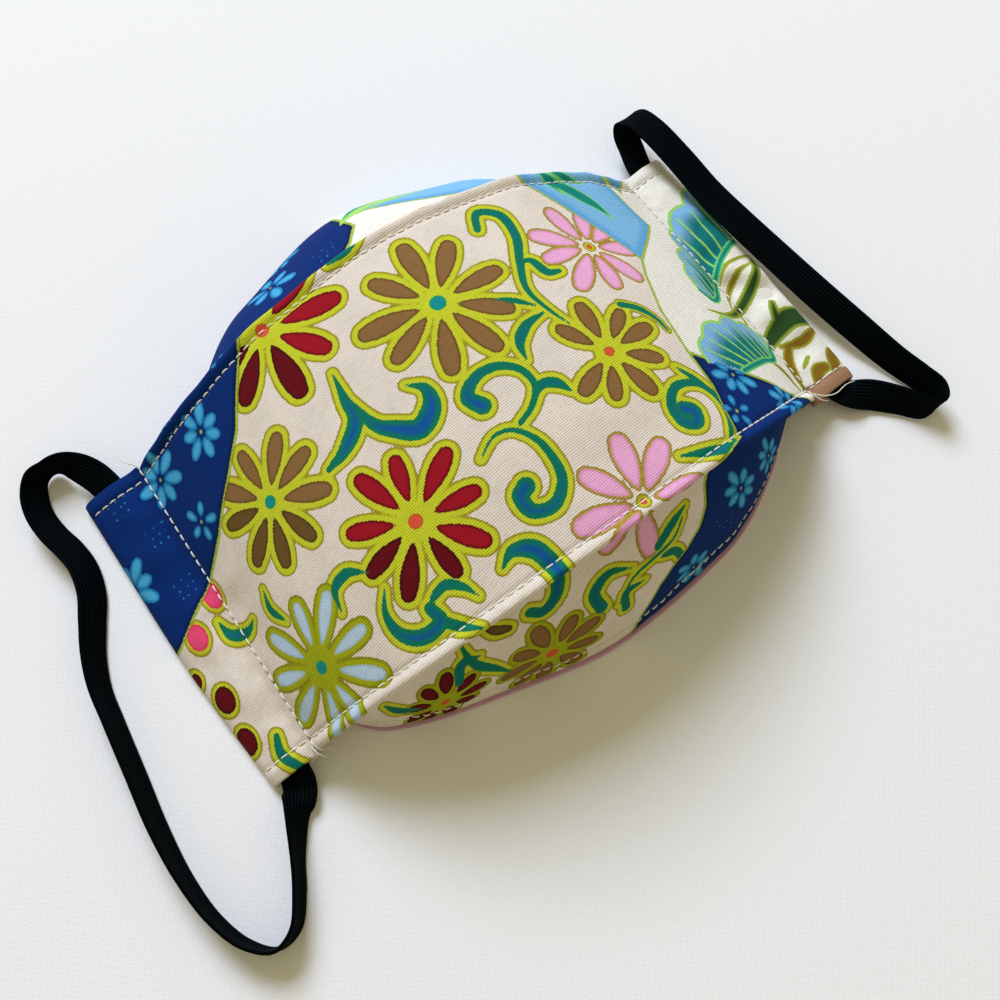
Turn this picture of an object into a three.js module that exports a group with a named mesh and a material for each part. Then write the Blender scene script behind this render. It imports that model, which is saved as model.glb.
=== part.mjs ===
// A washable cotton face mask, lying front up on the open rims of its two side flaps.
// Millimetres. +X runs along the mask between its ear loops, +Y towards the nose edge, +Z out of the front.
// The origin is on the surface that the mask lies on, under its middle.
import * as THREE from 'three';

// ---- Driving dimensions ----
const CLOTH = 1.1; // outer cotton, interlined
const LINING = 0.9; // inner cotton
const GAP = 0.3; // clearance between two pieces
const SEAM = CLOTH + 0.75; // from the outer face of the cloth to the lining, which lies loose behind it
const FOLD_WIDTH = 3; // stitched lip along each ridge fold
const FOLD_THICKNESS = 2; // cloth doubled on itself in that lip
const PANEL_END = 74; // half length of the panel and flaps, to the casings
const STATION_STEP = 4; // between sections along X
const PANEL_COLUMNS = 8; // across the panel between its folds
const LINING_COLUMNS = 5; // across the lining where it lies under the panel
const LINING_END = PANEL_END - STATION_STEP; // half length of the lining
const LINING_MARGIN = 10; // from a ridge to where the lining lies flat under the panel
const FLAP_SHARES = [0, 0.06, 0.15, 0.3, 0.48, 0.66, 0.84, 0.955, 1]; // rows of a flap, from its top to its rim
const LINED_SHARES = FLAP_SHARES.slice(2, -1); // the rows that the lining backs
const HEM_LIFT = 1.4; // the chin hem rides this high on the lining's rolled edge
const ROLL_PROUD = 0.7; // how far that rolled edge stands out past the hem
const ROLL_GAP = 0.55; // between the hem and the rolled edge under it
const ROLL_DEPTH = 0.8; // height of the rolled edge
const CASING_WALL = 1.15; // cloth around an elastic channel
const ELASTIC_WIDTH = 8;
const ELASTIC_THICKNESS = 1;
const ELASTIC_STEPS = 72;
const TABLE_CLEARANCE = 0.15; // under a loop that lies on the surface

// ---- Sections across the mask, a row for each station along X ----
// noseY, noseZ, chinY, chinZ: the two ridge folds. noseRimY, chinRimY, rimZ: the open rims.
// crown: rise of the panel between its ridges. noseBelly, chinBelly: how far a flap bows out of its chord.
const SECTIONS = [
  { x: -74, noseY: 41.6, noseZ: 8.6, chinY: 41.2, chinZ: 8.6, noseRimY: 17, chinRimY: 26, rimZ: 2.6, crown: 1.0, noseBelly: 0, chinBelly: 0 },
  { x: -58, noseY: 41.8, noseZ: 23.0, chinY: 43.4, chinZ: 24.0, noseRimY: 43.5, chinRimY: 45, rimZ: 0, crown: 2.2, noseBelly: 1.5, chinBelly: 1.2 },
  { x: -32, noseY: 44.1, noseZ: 34.7, chinY: 45.4, chinZ: 36.4, noseRimY: 67, chinRimY: 53.5, rimZ: 0, crown: 3.4, noseBelly: 4.5, chinBelly: 3 },
  { x: 0, noseY: 45.5, noseZ: 39.9, chinY: 45.9, chinZ: 41.4, noseRimY: 76.5, chinRimY: 59.5, rimZ: 0, crown: 4.0, noseBelly: 5.5, chinBelly: 3.6 },
  { x: 32, noseY: 44.4, noseZ: 34.8, chinY: 44.4, chinZ: 36.9, noseRimY: 69, chinRimY: 56.5, rimZ: 0, crown: 3.4, noseBelly: 4.5, chinBelly: 3 },
  { x: 58, noseY: 40.6, noseZ: 22.0, chinY: 42.3, chinZ: 24.8, noseRimY: 44.5, chinRimY: 45, rimZ: 0, crown: 2.2, noseBelly: 1.5, chinBelly: 1.2 },
  { x: 74, noseY: 38.0, noseZ: 7.4, chinY: 39.4, chinZ: 8.8, noseRimY: 17, chinRimY: 26, rimZ: 2.6, crown: 1.0, noseBelly: 0, chinBelly: 0 },
];

// Soft dents and swellings of the panel: centre, depth (below zero swells) and reach along X and Y.
const DENTS = [
  { x: -60, y: 12, depth: 1.0, reachX: 9, reachY: 16 },
  { x: -50, y: -20, depth: -0.8, reachX: 12, reachY: 12 },
  { x: 55, y: -6, depth: 1.2, reachX: 10, reachY: 14 },
  { x: 44, y: 24, depth: 0.8, reachX: 10, reachY: 10 },
  { x: 18, y: -30, depth: 0.6, reachX: 24, reachY: 7 },
];

// ---- Casings: outline of each, from chin end (v = -1) to nose end (v = 1) ----
const CASINGS = [
  {
    name: 'casing_left', side: -1,
    rows: [
      { v: -1, outX: 87.1, outY: -41.2, inY: -41.4 },
      { v: 0, outX: 90.0, outY: 0.6, inY: 0 },
      { v: 1, outX: 90.4, outY: 42.8, inY: 41.8 },
    ],
  },
  {
    name: 'casing_right', side: 1,
    rows: [
      { v: -1, outX: 89.9, outY: -38.3, inY: -39.8 },
      { v: 0, outX: 90.3, outY: 1.5, inY: 0 },
      { v: 1, outX: 88.8, outY: 42.0, inY: 39.6 },
    ],
  },
];

// Casing cross-section from the stitch line (u = 0) to the outer edge (u = 1).
// rise: top above the sloping mid level. drop: underside below it, pressed flat on the surface where it reaches it.
const CASING_EDGE_LEVEL = 2.6;
const CASING_PROFILE = [
  { u: 0, rise: 0, drop: 4.2 },
  { u: 0.12, rise: -0.5, drop: 4.2 },
  { u: 0.32, rise: 0.1, drop: 4.5 },
  { u: 0.55, rise: 0.7, drop: 4.6 },
  { u: 0.7, rise: 0.6, drop: 9 },
  { u: 0.86, rise: 0.5, drop: 9 },
  { u: 0.95, rise: 0.0, drop: 2.6 },
  { u: 1, rise: -0.9, drop: 1.7 },
];
const CHANNEL_FROM = 0.13;
const CHANNEL_TO = 0.92;
const CHANNEL_STEPS = 6;

// ---- Ear loops: the middle of the elastic, once round each loop ----
// lift: above where it would lie on the surface. across: compass of its width in degrees. lean: 0 flat, 90 on edge.
const LEFT_LOOP = [
  { x: -83.0, y: 27, lift: 1.9, across: 0, lean: 16 },
  { x: -83.0, y: 43, lift: 1.9, across: 0, lean: 16 },
  { x: -85.0, y: 49.5, lift: 2.4, across: 35, lean: 26 },
  { x: -88.5, y: 54, lift: 1.6, across: 55, lean: 56 },
  { x: -92.5, y: 56.2, lift: 0.6, across: 80, lean: 86 },
  { x: -96.4, y: 55.6, lift: 0.2, across: 125, lean: 70 },
  { x: -99.0, y: 52, lift: 0, across: 155, lean: 54 },
  { x: -100.2, y: 47, lift: 0, across: 175, lean: 47 },
  { x: -99.8, y: 41, lift: 0, across: 190, lean: 42 },
  { x: -98.4, y: 35, lift: 0, across: 192, lean: 40 },
  { x: -97.8, y: 29, lift: 0, across: 180, lean: 45 },
  { x: -99.2, y: 22, lift: 0, across: 163, lean: 51 },
  { x: -102.4, y: 15.5, lift: 0, across: 155, lean: 57 },
  { x: -105.8, y: 8.5, lift: 0, across: 157, lean: 63 },
  { x: -108.2, y: 1, lift: 0, across: 168, lean: 67 },
  { x: -109.4, y: -8, lift: 0, across: 172, lean: 69 },
  { x: -111.0, y: -21.5, lift: 0, across: 174, lean: 70 },
  { x: -112.6, y: -35, lift: 0, across: 176, lean: 72 },
  { x: -113.0, y: -47.5, lift: 0, across: 184, lean: 77 },
  { x: -111.8, y: -58.5, lift: 0, across: 194, lean: 80 },
  { x: -108.6, y: -67, lift: 0, across: 215, lean: 82 },
  { x: -103.8, y: -71.6, lift: 0, across: 255, lean: 88 },
  { x: -98.4, y: -70.4, lift: 0, across: 300, lean: 97 },
  { x: -93.8, y: -64.6, lift: 0, across: 328, lean: 100 },
  { x: -89.6, y: -57, lift: 0, across: 334, lean: 104 },
  { x: -84.8, y: -49, lift: 0.5, across: 344, lean: 130 },
  { x: -82.1, y: -45.2, lift: 1.2, across: 352, lean: 184 },
  { x: -81.1, y: -42, lift: 1.6, across: 359, lean: 198 },
  { x: -81.1, y: -34, lift: 1.8, across: 360, lean: 198 },
  { x: -82.8, y: 0, lift: 2, across: 360, lean: 197 },
  { x: -83.0, y: 26, lift: 1.9, across: 360, lean: 196 },
];

const RIGHT_LOOP = [
  { x: 82.2, y: 26, lift: 1.6, across: 0, lean: -14 },
  { x: 82.0, y: 41.5, lift: 1.4, across: 0, lean: -13 },
  { x: 83.6, y: 48.5, lift: 2.6, across: 2, lean: -10 },
  { x: 84.6, y: 53, lift: 4.6, across: 3, lean: -6 },
  { x: 85.6, y: 54.6, lift: 7.4, across: 4, lean: -3 },
  { x: 86.8, y: 52.6, lift: 9.8, across: 5, lean: 0 },
  { x: 88.0, y: 47, lift: 10.2, across: 5, lean: 3 },
  { x: 89.3, y: 36, lift: 8.6, across: 5, lean: 6 },
  { x: 90.2, y: 24, lift: 6.6, across: 6, lean: 9 },
  { x: 91.6, y: 12, lift: 5.6, across: 8, lean: 13 },
  { x: 93.4, y: 0, lift: 4.4, across: 9, lean: 18 },
  { x: 95.2, y: -14.5, lift: 3.6, across: 10, lean: 27 },
  { x: 97.4, y: -28.5, lift: 2.4, across: 13, lean: 41 },
  { x: 100.2, y: -41, lift: 0.5, across: 14, lean: 55 },
  { x: 102.4, y: -49, lift: 0, across: 12, lean: 62 },
  { x: 103.4, y: -54.2, lift: 0, across: -12, lean: 69 },
  { x: 101.4, y: -57.6, lift: 0, across: -70, lean: 82 },
  { x: 97.8, y: -56.4, lift: 0, across: -122, lean: 112 },
  { x: 94.2, y: -51.4, lift: 0, across: -140, lean: 128 },
  { x: 89.8, y: -46, lift: 0.4, across: -148, lean: 150 },
  { x: 84.4, y: -41.4, lift: 1.5, across: -166, lean: 190 },
  { x: 82.3, y: -36, lift: 2, across: -178, lean: 196 },
  { x: 82.6, y: 0, lift: 2.15, across: -180, lean: 197 },
  { x: 82.2, y: 25, lift: 1.6, across: -180, lean: 194 },
];

// ---- Small helpers ----
const mix = (a, b, t) => a + (b - a) * t;
const range = (count, from, to) => Array.from({ length: count + 1 }, (_, i) => mix(from, to, i / count));

// A smooth curve through one column of a table that never swings past its rows (monotone cubic).
function column(table, along, key, at) {
  const last = table.length - 1;
  let i = 0;
  while (i < last - 1 && at > table[i + 1][along]) i += 1;
  const width = (k) => table[k + 1][along] - table[k][along];
  const slope = (k) => (table[k + 1][key] - table[k][key]) / width(k);
  const tangent = (k) => {
    if (k === 0) return slope(0);
    if (k === last) return slope(last - 1);
    const before = slope(k - 1);
    const after = slope(k);
    if (before * after <= 0) return 0;
    return (2 * before * after) / (before + after);
  };
  const t = Math.min(Math.max((at - table[i][along]) / width(i), 0), 1);
  const t2 = t * t;
  const t3 = t2 * t;
  return table[i][key] * (2 * t3 - 3 * t2 + 1) + width(i) * tangent(i) * (t3 - 2 * t2 + t)
    + table[i + 1][key] * (3 * t2 - 2 * t3) + width(i) * tangent(i + 1) * (t3 - t2);
}
const section = (key, x) => column(SECTIONS, 'x', key, x);
const stations = (end) => range(Math.round((2 * end) / STATION_STEP), -end, end);

// Closed solid between two grids of points with the same rows and columns.
function solidBetween(outer, inner) {
  const rows = outer.length;
  const columns = outer[0].length;
  const points = [...outer.flat(), ...inner.flat()];
  const at = (layer, i, j) => layer * rows * columns + i * columns + j;
  const faces = [];
  const quad = (a, b, c, d) => faces.push([a, b, c], [a, c, d]);
  for (let i = 0; i < rows - 1; i += 1) {
    for (let j = 0; j < columns - 1; j += 1) {
      quad(at(0, i, j), at(0, i + 1, j), at(0, i + 1, j + 1), at(0, i, j + 1));
      quad(at(1, i, j), at(1, i, j + 1), at(1, i + 1, j + 1), at(1, i + 1, j));
    }
    quad(at(0, i, 0), at(1, i, 0), at(1, i + 1, 0), at(0, i + 1, 0));
    quad(at(0, i, columns - 1), at(0, i + 1, columns - 1), at(1, i + 1, columns - 1), at(1, i, columns - 1));
  }
  for (let j = 0; j < columns - 1; j += 1) {
    quad(at(0, 0, j), at(0, 0, j + 1), at(1, 0, j + 1), at(1, 0, j));
    quad(at(0, rows - 1, j), at(1, rows - 1, j), at(1, rows - 1, j + 1), at(0, rows - 1, j + 1));
  }
  return geometryOf(points, faces);
}

// Geometry of a closed mesh, turned so that its faces point out.
function geometryOf(points, faces) {
  const volume = faces.reduce((sum, [a, b, c]) => (
    sum + points[a].dot(new THREE.Vector3().crossVectors(points[b], points[c]))), 0);
  const order = volume < 0 ? faces.map(([a, b, c]) => [a, c, b]) : faces;
  const geometry = new THREE.BufferGeometry();
  geometry.setAttribute('position', new THREE.Float32BufferAttribute(points.flatMap((p) => [p.x, p.y, p.z]), 3));
  geometry.setIndex(order.flat());
  geometry.computeVertexNormals();
  return geometry;
}

// ---- The cloth surfaces ----
// Height of the panel's outer face: a straight line between the ridges, the crown over it and the dents in it.
function panelHeight(x, y) {
  const nose = section('noseY', x);
  const chin = section('chinY', x);
  const share = (y + chin) / (nose + chin);
  const v = 2 * share - 1;
  const dents = DENTS.reduce((sum, d) => (
    sum + d.depth * Math.exp(-(((x - d.x) / d.reachX) ** 2) - (((y - d.y) / d.reachY) ** 2))), 0);
  return mix(section('chinZ', x), section('noseZ', x), share) + section('crown', x) * (1 - v * v) - dents;
}

const panelPoint = (x, y) => new THREE.Vector3(x, y, panelHeight(x, y));

// Unit normal of the panel, from its slope along X and Y.
function panelNormal(x, y) {
  const step = 0.5;
  const slopeX = (panelHeight(x + step, y) - panelHeight(x - step, y)) / (2 * step);
  const slopeY = (panelHeight(x, y + step) - panelHeight(x, y - step)) / (2 * step);
  return new THREE.Vector3(-slopeX, -slopeY, 1).normalize();
}

// Outline of one flap at a station: its top under the ridge fold, its rim, and the unit vectors along and out of it.
function flapChord(x, side) {
  const nose = side > 0;
  const ridgeY = section(nose ? 'noseY' : 'chinY', x);
  const rimY = section(nose ? 'noseRimY' : 'chinRimY', x);
  const rimZ = section('rimZ', x) + (nose ? 0 : HEM_LIFT);
  const topY = ridgeY - FOLD_WIDTH + GAP;
  const underFold = panelHeight(x, side * topY) - FOLD_THICKNESS - GAP;
  const fall = underFold - rimZ;
  const reach = rimY - topY;
  const turnedUnder = Math.max(0, -reach / Math.hypot(reach, fall));
  const top = new THREE.Vector3(x, side * topY, underFold - CLOTH * turnedUnder);
  const rim = new THREE.Vector3(x, side * rimY, rimZ);
  const along = rim.clone().sub(top).normalize();
  const out = new THREE.Vector3(0, -side * along.z, side * along.y);
  return { top, rim, along, out, belly: section(nose ? 'noseBelly' : 'chinBelly', x) };
}

// Point of a flap, from its top (t = 0) to its rim (t = 1), set inwards from the outer face by a depth.
function flapPoint(chord, t, depth = 0) {
  return chord.top.clone().lerp(chord.rim, t).addScaledVector(chord.out, chord.belly * Math.sin(Math.PI * t) - depth);
}

const onSurface = (point) => point.setZ(Math.max(point.z, 0));

// ---- Front panel: the printed face between the two ridge folds, doubled in the folds ----
function frontPanel() {
  const outer = [];
  const inner = [];
  stations(PANEL_END).forEach((x) => {
    const nose = section('noseY', x);
    const chin = section('chinY', x);
    const fold = FOLD_WIDTH;
    const ys = [-chin, -chin + fold - 0.2, ...range(PANEL_COLUMNS, -chin + fold + 0.2, nose - fold - 0.2), nose - fold + 0.2, nose];
    const top = ys.map((y) => panelPoint(x, y));
    outer.push(top);
    inner.push(top.map((point, j) => {
      const inFold = j < 2 || j > ys.length - 3;
      return point.clone().setZ(point.z - (inFold ? FOLD_THICKNESS : CLOTH / panelNormal(x, ys[j]).z));
    }));
  });
  return solidBetween(outer, inner);
}

// ---- Flaps: from under a ridge fold down to the open rim on the surface ----
function flap(side) {
  const outer = [];
  const inner = [];
  stations(PANEL_END).forEach((x) => {
    const chord = flapChord(x, side);
    outer.push(FLAP_SHARES.map((t) => flapPoint(chord, t)));
    inner.push(FLAP_SHARES.map((t) => onSurface(flapPoint(chord, t, CLOTH))));
  });
  return solidBetween(outer, inner);
}

// ---- Lining: one inner skin from its rolled edge under the chin hem, over the panel, to the nose rim ----
function lining() {
  const outer = [];
  const inner = [];
  stations(LINING_END).forEach((x) => {
    const chin = flapChord(x, -1);
    const nose = flapChord(x, 1);
    const deep = SEAM + LINING;
    const edge = (down, depth) => onSurface(
      chin.rim.clone().addScaledVector(chin.along, down).addScaledVector(chin.out, -depth));
    const low = ROLL_GAP + ROLL_DEPTH;
    const over = [edge(low, -ROLL_PROUD), edge(ROLL_GAP, -ROLL_PROUD), edge(ROLL_GAP, SEAM)];
    const under = [edge(low, deep), edge(ROLL_GAP, deep), edge(0, deep)];
    [...LINED_SHARES].reverse().forEach((t) => {
      over.push(flapPoint(chin, t, SEAM));
      under.push(onSurface(flapPoint(chin, t, deep)));
    });
    const flat = range(LINING_COLUMNS, -section('chinY', x) + LINING_MARGIN, section('noseY', x) - LINING_MARGIN);
    flat.forEach((y) => {
      const point = panelPoint(x, y);
      const lean = panelNormal(x, y).z;
      over.push(point.clone().setZ(point.z - SEAM / lean));
      under.push(point.clone().setZ(point.z - deep / lean));
    });
    LINED_SHARES.forEach((t) => {
      over.push(flapPoint(nose, t, SEAM));
      under.push(onSurface(flapPoint(nose, t, deep)));
    });
    outer.push(over);
    inner.push(under);
  });
  return solidBetween(outer, inner);
}

// ---- Casings: a cloth channel across each end, open at both mouths ----
function casing({ side, rows }) {
  const inX = PANEL_END + GAP;
  const outline = (key, v) => column(rows, 'v', key, v);
  // Levels of the top and the underside at a share u of the casing's depth.
  const levels = (u, seamTop) => {
    const level = mix(seamTop, CASING_EDGE_LEVEL, u);
    const top = level + column(CASING_PROFILE, 'u', 'rise', u);
    const bottom = Math.max(0, level - column(CASING_PROFILE, 'u', 'drop', u));
    return { top, bottom };
  };
  const tube = range(12, -1, 1).map((v) => {
    const seamY = Math.min(Math.max(outline('inY', v), -section('chinY', side * PANEL_END)), section('noseY', side * PANEL_END));
    const seamTop = panelHeight(side * PANEL_END, seamY);
    const place = (u, z) => new THREE.Vector3(
      side * mix(inX, outline('outX', v), u), mix(outline('inY', v), outline('outY', v), u), z);
    const shares = CASING_PROFILE.map((row) => row.u);
    const skin = [
      ...shares.map((u) => place(u, levels(u, seamTop).top)),
      ...[...shares].reverse().map((u) => place(u, levels(u, seamTop).bottom)),
    ];
    const inside = range(CHANNEL_STEPS, CHANNEL_FROM, CHANNEL_TO);
    const channel = [
      ...inside.map((u) => place(u, levels(u, seamTop).top - CASING_WALL)),
      ...[...inside].reverse().map((u) => place(u, levels(u, seamTop).bottom + CASING_WALL)),
    ];
    return { skin, channel };
  });
  return channelSolid(tube);
}

// Closed solid of a tube whose sections are an outer ring (skin) and an inner ring (channel).
function channelSolid(tube) {
  const outerCount = tube[0].skin.length;
  const innerCount = tube[0].channel.length;
  const points = tube.flatMap(({ skin, channel }) => [...skin, ...channel]);
  const stride = outerCount + innerCount;
  const skinAt = (i, j) => i * stride + (j % outerCount);
  const channelAt = (i, j) => i * stride + outerCount + (j % innerCount);
  const faces = [];
  for (let i = 0; i < tube.length - 1; i += 1) {
    for (let j = 0; j < outerCount; j += 1) {
      faces.push([skinAt(i, j), skinAt(i + 1, j), skinAt(i + 1, j + 1)], [skinAt(i, j), skinAt(i + 1, j + 1), skinAt(i, j + 1)]);
    }
    for (let j = 0; j < innerCount; j += 1) {
      faces.push([channelAt(i, j), channelAt(i + 1, j + 1), channelAt(i + 1, j)], [channelAt(i, j), channelAt(i, j + 1), channelAt(i + 1, j + 1)]);
    }
  }
  const end = (i, flip) => {
    // Walk both rings together by their share of the way round, and bridge them with triangles.
    let a = 0;
    let b = 0;
    while (a < outerCount || b < innerCount) {
      const stepOuter = b >= innerCount || (a < outerCount && (a + 1) / outerCount <= (b + 1) / innerCount);
      const face = stepOuter
        ? [skinAt(i, a), skinAt(i, a + 1), channelAt(i, b)]
        : [skinAt(i, a), channelAt(i, b + 1), channelAt(i, b)];
      faces.push(flip ? [face[0], face[2], face[1]] : face);
      if (stepOuter) a += 1;
      else b += 1;
    }
  };
  end(0, false);
  end(tube.length - 1, true);
  return geometryOf(points, faces);
}

// ---- Ear loops: a flat extruded band bent and twisted along its route ----
function earLoop(route) {
  const half = { width: ELASTIC_WIDTH / 2, thickness: ELASTIC_THICKNESS / 2 };
  const radians = (degrees) => THREE.MathUtils.degToRad(degrees);
  const restHeight = (lean) => (
    half.width * Math.abs(Math.sin(radians(lean))) + half.thickness * Math.abs(Math.cos(radians(lean))) + TABLE_CLEARANCE);
  const middle = new THREE.CatmullRomCurve3(
    route.map((row) => new THREE.Vector3(row.x, row.y, restHeight(row.lean) + row.lift)), false, 'centripetal');
  middle.arcLengthDivisions = 2000;
  const twist = new THREE.CatmullRomCurve3(
    route.map((row) => new THREE.Vector3(radians(row.across), radians(row.lean), 0)), false, 'catmullrom', 0.5);
  const bevel = 0.35;
  const outline = new THREE.Shape([
    [-half.width, -half.thickness + bevel], [-half.width + bevel, -half.thickness],
    [half.width - bevel, -half.thickness], [half.width, -half.thickness + bevel],
    [half.width, half.thickness - bevel], [half.width - bevel, half.thickness],
    [-half.width + bevel, half.thickness], [-half.width, half.thickness - bevel],
  ].map(([u, v]) => new THREE.Vector2(u, v)));
  const band = new THREE.ExtrudeGeometry(outline, { depth: 1, steps: ELASTIC_STEPS, bevelEnabled: false });
  const position = band.getAttribute('position');
  for (let i = 0; i < position.count; i += 1) {
    const t = middle.getUtoTmapping(position.getZ(i));
    const tangent = middle.getTangent(t);
    const { x: across, y: lean } = twist.getPoint(t);
    const width = new THREE.Vector3(
      Math.cos(across) * Math.cos(lean), Math.sin(across) * Math.cos(lean), Math.sin(lean));
    width.addScaledVector(tangent, -width.dot(tangent)).normalize();
    const face = new THREE.Vector3().crossVectors(tangent, width);
    const point = middle.getPoint(t).addScaledVector(width, position.getX(i)).addScaledVector(face, position.getY(i));
    position.setXYZ(i, point.x, point.y, Math.max(point.z, TABLE_CLEARANCE / 2));
  }
  band.deleteAttribute('uv');
  band.computeVertexNormals();
  return turnedOut(band);
}

// A loose triangle mesh turned inside out where its volume says that its faces point in.
function turnedOut(geometry) {
  const position = geometry.getAttribute('position');
  const corner = (i) => new THREE.Vector3().fromBufferAttribute(position, i);
  let volume = 0;
  for (let i = 0; i < position.count; i += 3) {
    volume += corner(i).dot(corner(i + 1).cross(corner(i + 2)));
  }
  if (volume < 0) {
    for (let i = 0; i < position.count; i += 3) {
      const [second, third] = [corner(i + 1), corner(i + 2)];
      position.setXYZ(i + 1, third.x, third.y, third.z);
      position.setXYZ(i + 2, second.x, second.y, second.z);
    }
    geometry.computeVertexNormals();
  }
  return geometry;
}

// ---- Materials ----
const cotton = (color) => new THREE.MeshStandardMaterial({ color, roughness: 0.9, metalness: 0 });
const elastic = new THREE.MeshStandardMaterial({ color: 0x0a1215, roughness: 0.75, metalness: 0 });

// ---- Assembly ----
const mask = new THREE.Group();
function add(name, geometry, material) {
  const mesh = new THREE.Mesh(geometry, material);
  mesh.name = name;
  mask.add(mesh);
}
add('front_panel', frontPanel(), cotton(0xd9cbc0));
add('nose_flap', flap(1), cotton(0x1a4fa0));
add('chin_flap', flap(-1), cotton(0xcabfae));
add('lining', lining(), cotton(0xc98fa6));
CASINGS.forEach((entry) => add(entry.name, casing(entry), cotton(entry.side < 0 ? 0x17439a : 0xf0ece6)));
add('ear_loop_left', earLoop(LEFT_LOOP), elastic);
add('ear_loop_right', earLoop(RIGHT_LOOP), elastic);

// The origin goes under the middle of the cloth, which the loops reach past.
const cloth = new THREE.Box3();
mask.children.filter((mesh) => !mesh.name.startsWith('ear_loop')).forEach((mesh) => cloth.expandByObject(mesh));
mask.position.set(-(cloth.min.x + cloth.max.x) / 2, -(cloth.min.y + cloth.max.y) / 2, 0);

export default mask;
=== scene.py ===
"""Looks of a washable cotton face mask with two elastic ear loops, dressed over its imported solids.

Tables and shape functions are in millimetres. +X runs between the ear loops, +Y towards the nose edge and
+Z out of the front. Every mesh is written in metres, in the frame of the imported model.
"""

import logging
import math
from dataclasses import dataclass, field
from enum import Enum

import bpy
import numpy as np
from mathutils import Matrix, Vector


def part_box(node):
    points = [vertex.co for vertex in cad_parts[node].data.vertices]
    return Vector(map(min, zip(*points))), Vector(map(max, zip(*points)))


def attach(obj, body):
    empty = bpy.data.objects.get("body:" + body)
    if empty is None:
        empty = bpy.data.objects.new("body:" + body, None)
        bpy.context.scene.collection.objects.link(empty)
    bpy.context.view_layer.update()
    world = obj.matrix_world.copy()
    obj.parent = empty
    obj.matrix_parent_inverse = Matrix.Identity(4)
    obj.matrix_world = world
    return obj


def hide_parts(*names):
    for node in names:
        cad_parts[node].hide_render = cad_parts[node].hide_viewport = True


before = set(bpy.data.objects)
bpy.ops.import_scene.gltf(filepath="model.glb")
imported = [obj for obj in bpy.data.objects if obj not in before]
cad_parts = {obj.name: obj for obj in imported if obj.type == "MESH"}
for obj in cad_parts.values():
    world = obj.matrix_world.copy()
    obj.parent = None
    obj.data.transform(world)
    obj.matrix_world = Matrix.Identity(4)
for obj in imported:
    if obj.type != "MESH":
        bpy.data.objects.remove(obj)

LOG = logging.getLogger("face_mask")
MM = 0.001

Array = np.ndarray
Rgb = tuple[float, float, float]


# ---- Small helpers ----


def linear(red: float, green: float, blue: float) -> Rgb:
    """Scene-linear colour of an 8-bit display colour.

    Args:
        red, green, blue: levels from 0 to 255.

    Returns:
        The three linear levels, by the display's two-part transfer curve.
    """
    levels = np.array([red, green, blue]) / 255
    curved = np.where(levels <= 0.04045, levels / 12.92, ((levels + 0.055) / 1.055) ** 2.4)
    return tuple(float(level) for level in curved)


def monotone(knots: Array, values: Array, at: Array) -> Array:
    """Smooth curve through a table's column that never swings past its rows.

    A cubic between each two rows, whose slope at a row is the harmonic mean of the two straight slopes
    beside it, or none where they turn.

    Args:
        knots: rising positions of the rows.
        values: the column's values there.
        at: positions to read, held to the end rows outside them.

    Returns:
        The curve's value at each position.
    """
    width = np.diff(knots)
    slope = np.diff(values) / width
    tangent = np.concatenate([slope[:1], np.zeros(len(knots) - 2), slope[-1:]])
    before, after = slope[:-1], slope[1:]
    same = before * after > 0
    tangent[1:-1] = np.where(same, 2 * before * after / np.where(same, before + after, 1), 0)
    i = np.clip(np.searchsorted(knots, at, side="right") - 1, 0, len(width) - 1)
    t = np.clip((at - knots[i]) / width[i], 0, 1)
    t2, t3 = t * t, t * t * t
    return (values[i] * (2 * t3 - 3 * t2 + 1) + width[i] * tangent[i] * (t3 - 2 * t2 + t)
            + values[i + 1] * (3 * t2 - 2 * t3) + width[i] * tangent[i + 1] * (t3 - t2))


def spline(points: Array, at: Array, centripetal: bool) -> Array:
    """Catmull-Rom curve through a list of points.

    Each stretch is a cubic between two points whose end slopes come from the neighbours, spaced by the
    square root of the distance if centripetal and evenly if not. Both ends are carried on in a straight line.

    Args:
        points: the points, one a row.
        at: positions from 0 at the first point to 1 at the last.
        centripetal: how the points are spaced.

    Returns:
        A point a row for each position.
    """
    last = len(points) - 1
    whole = np.concatenate([2 * points[:1] - points[1:2], points, 2 * points[-1:] - points[-2:-1]])
    i = np.clip((at * last).astype(int), 0, last - 1)
    t = (at * last - i)[:, None]
    p0, p1, p2, p3 = (whole[i + k] for k in range(4))
    gaps = [np.ones((len(at), 1))] * 3
    if centripetal:
        pairs = ((p0, p1), (p1, p2), (p2, p3))
        gaps = [np.sqrt(np.linalg.norm(b - a, axis=1, keepdims=True)) for a, b in pairs]
    g0, g1, g2 = gaps
    leave = ((p1 - p0) / g0 - (p2 - p0) / (g0 + g1) + (p2 - p1) / g1) * g1
    reach = ((p2 - p1) / g1 - (p3 - p1) / (g1 + g2) + (p3 - p2) / g2) * g1
    return (p1 + leave * t + (-3 * p1 + 3 * p2 - 2 * leave - reach) * t**2
            + (2 * p1 - 2 * p2 + leave + reach) * t**3)


def lengths(line: Array) -> Array:
    """Distance along a line of points, one number a point."""
    return np.concatenate([[0], np.cumsum(np.linalg.norm(np.diff(line, axis=0), axis=1))])


def unit(vectors: Array) -> Array:
    """Vectors of length 1 along the last axis."""
    return vectors / np.maximum(np.linalg.norm(vectors, axis=-1, keepdims=True), 1e-9)


def bell(distance: Array, reach: float) -> Array:
    """A bell curve: 1 at no distance, about a third at the reach."""
    return np.exp(-((distance / reach) ** 2))


# ---- Closed meshes ----


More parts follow.
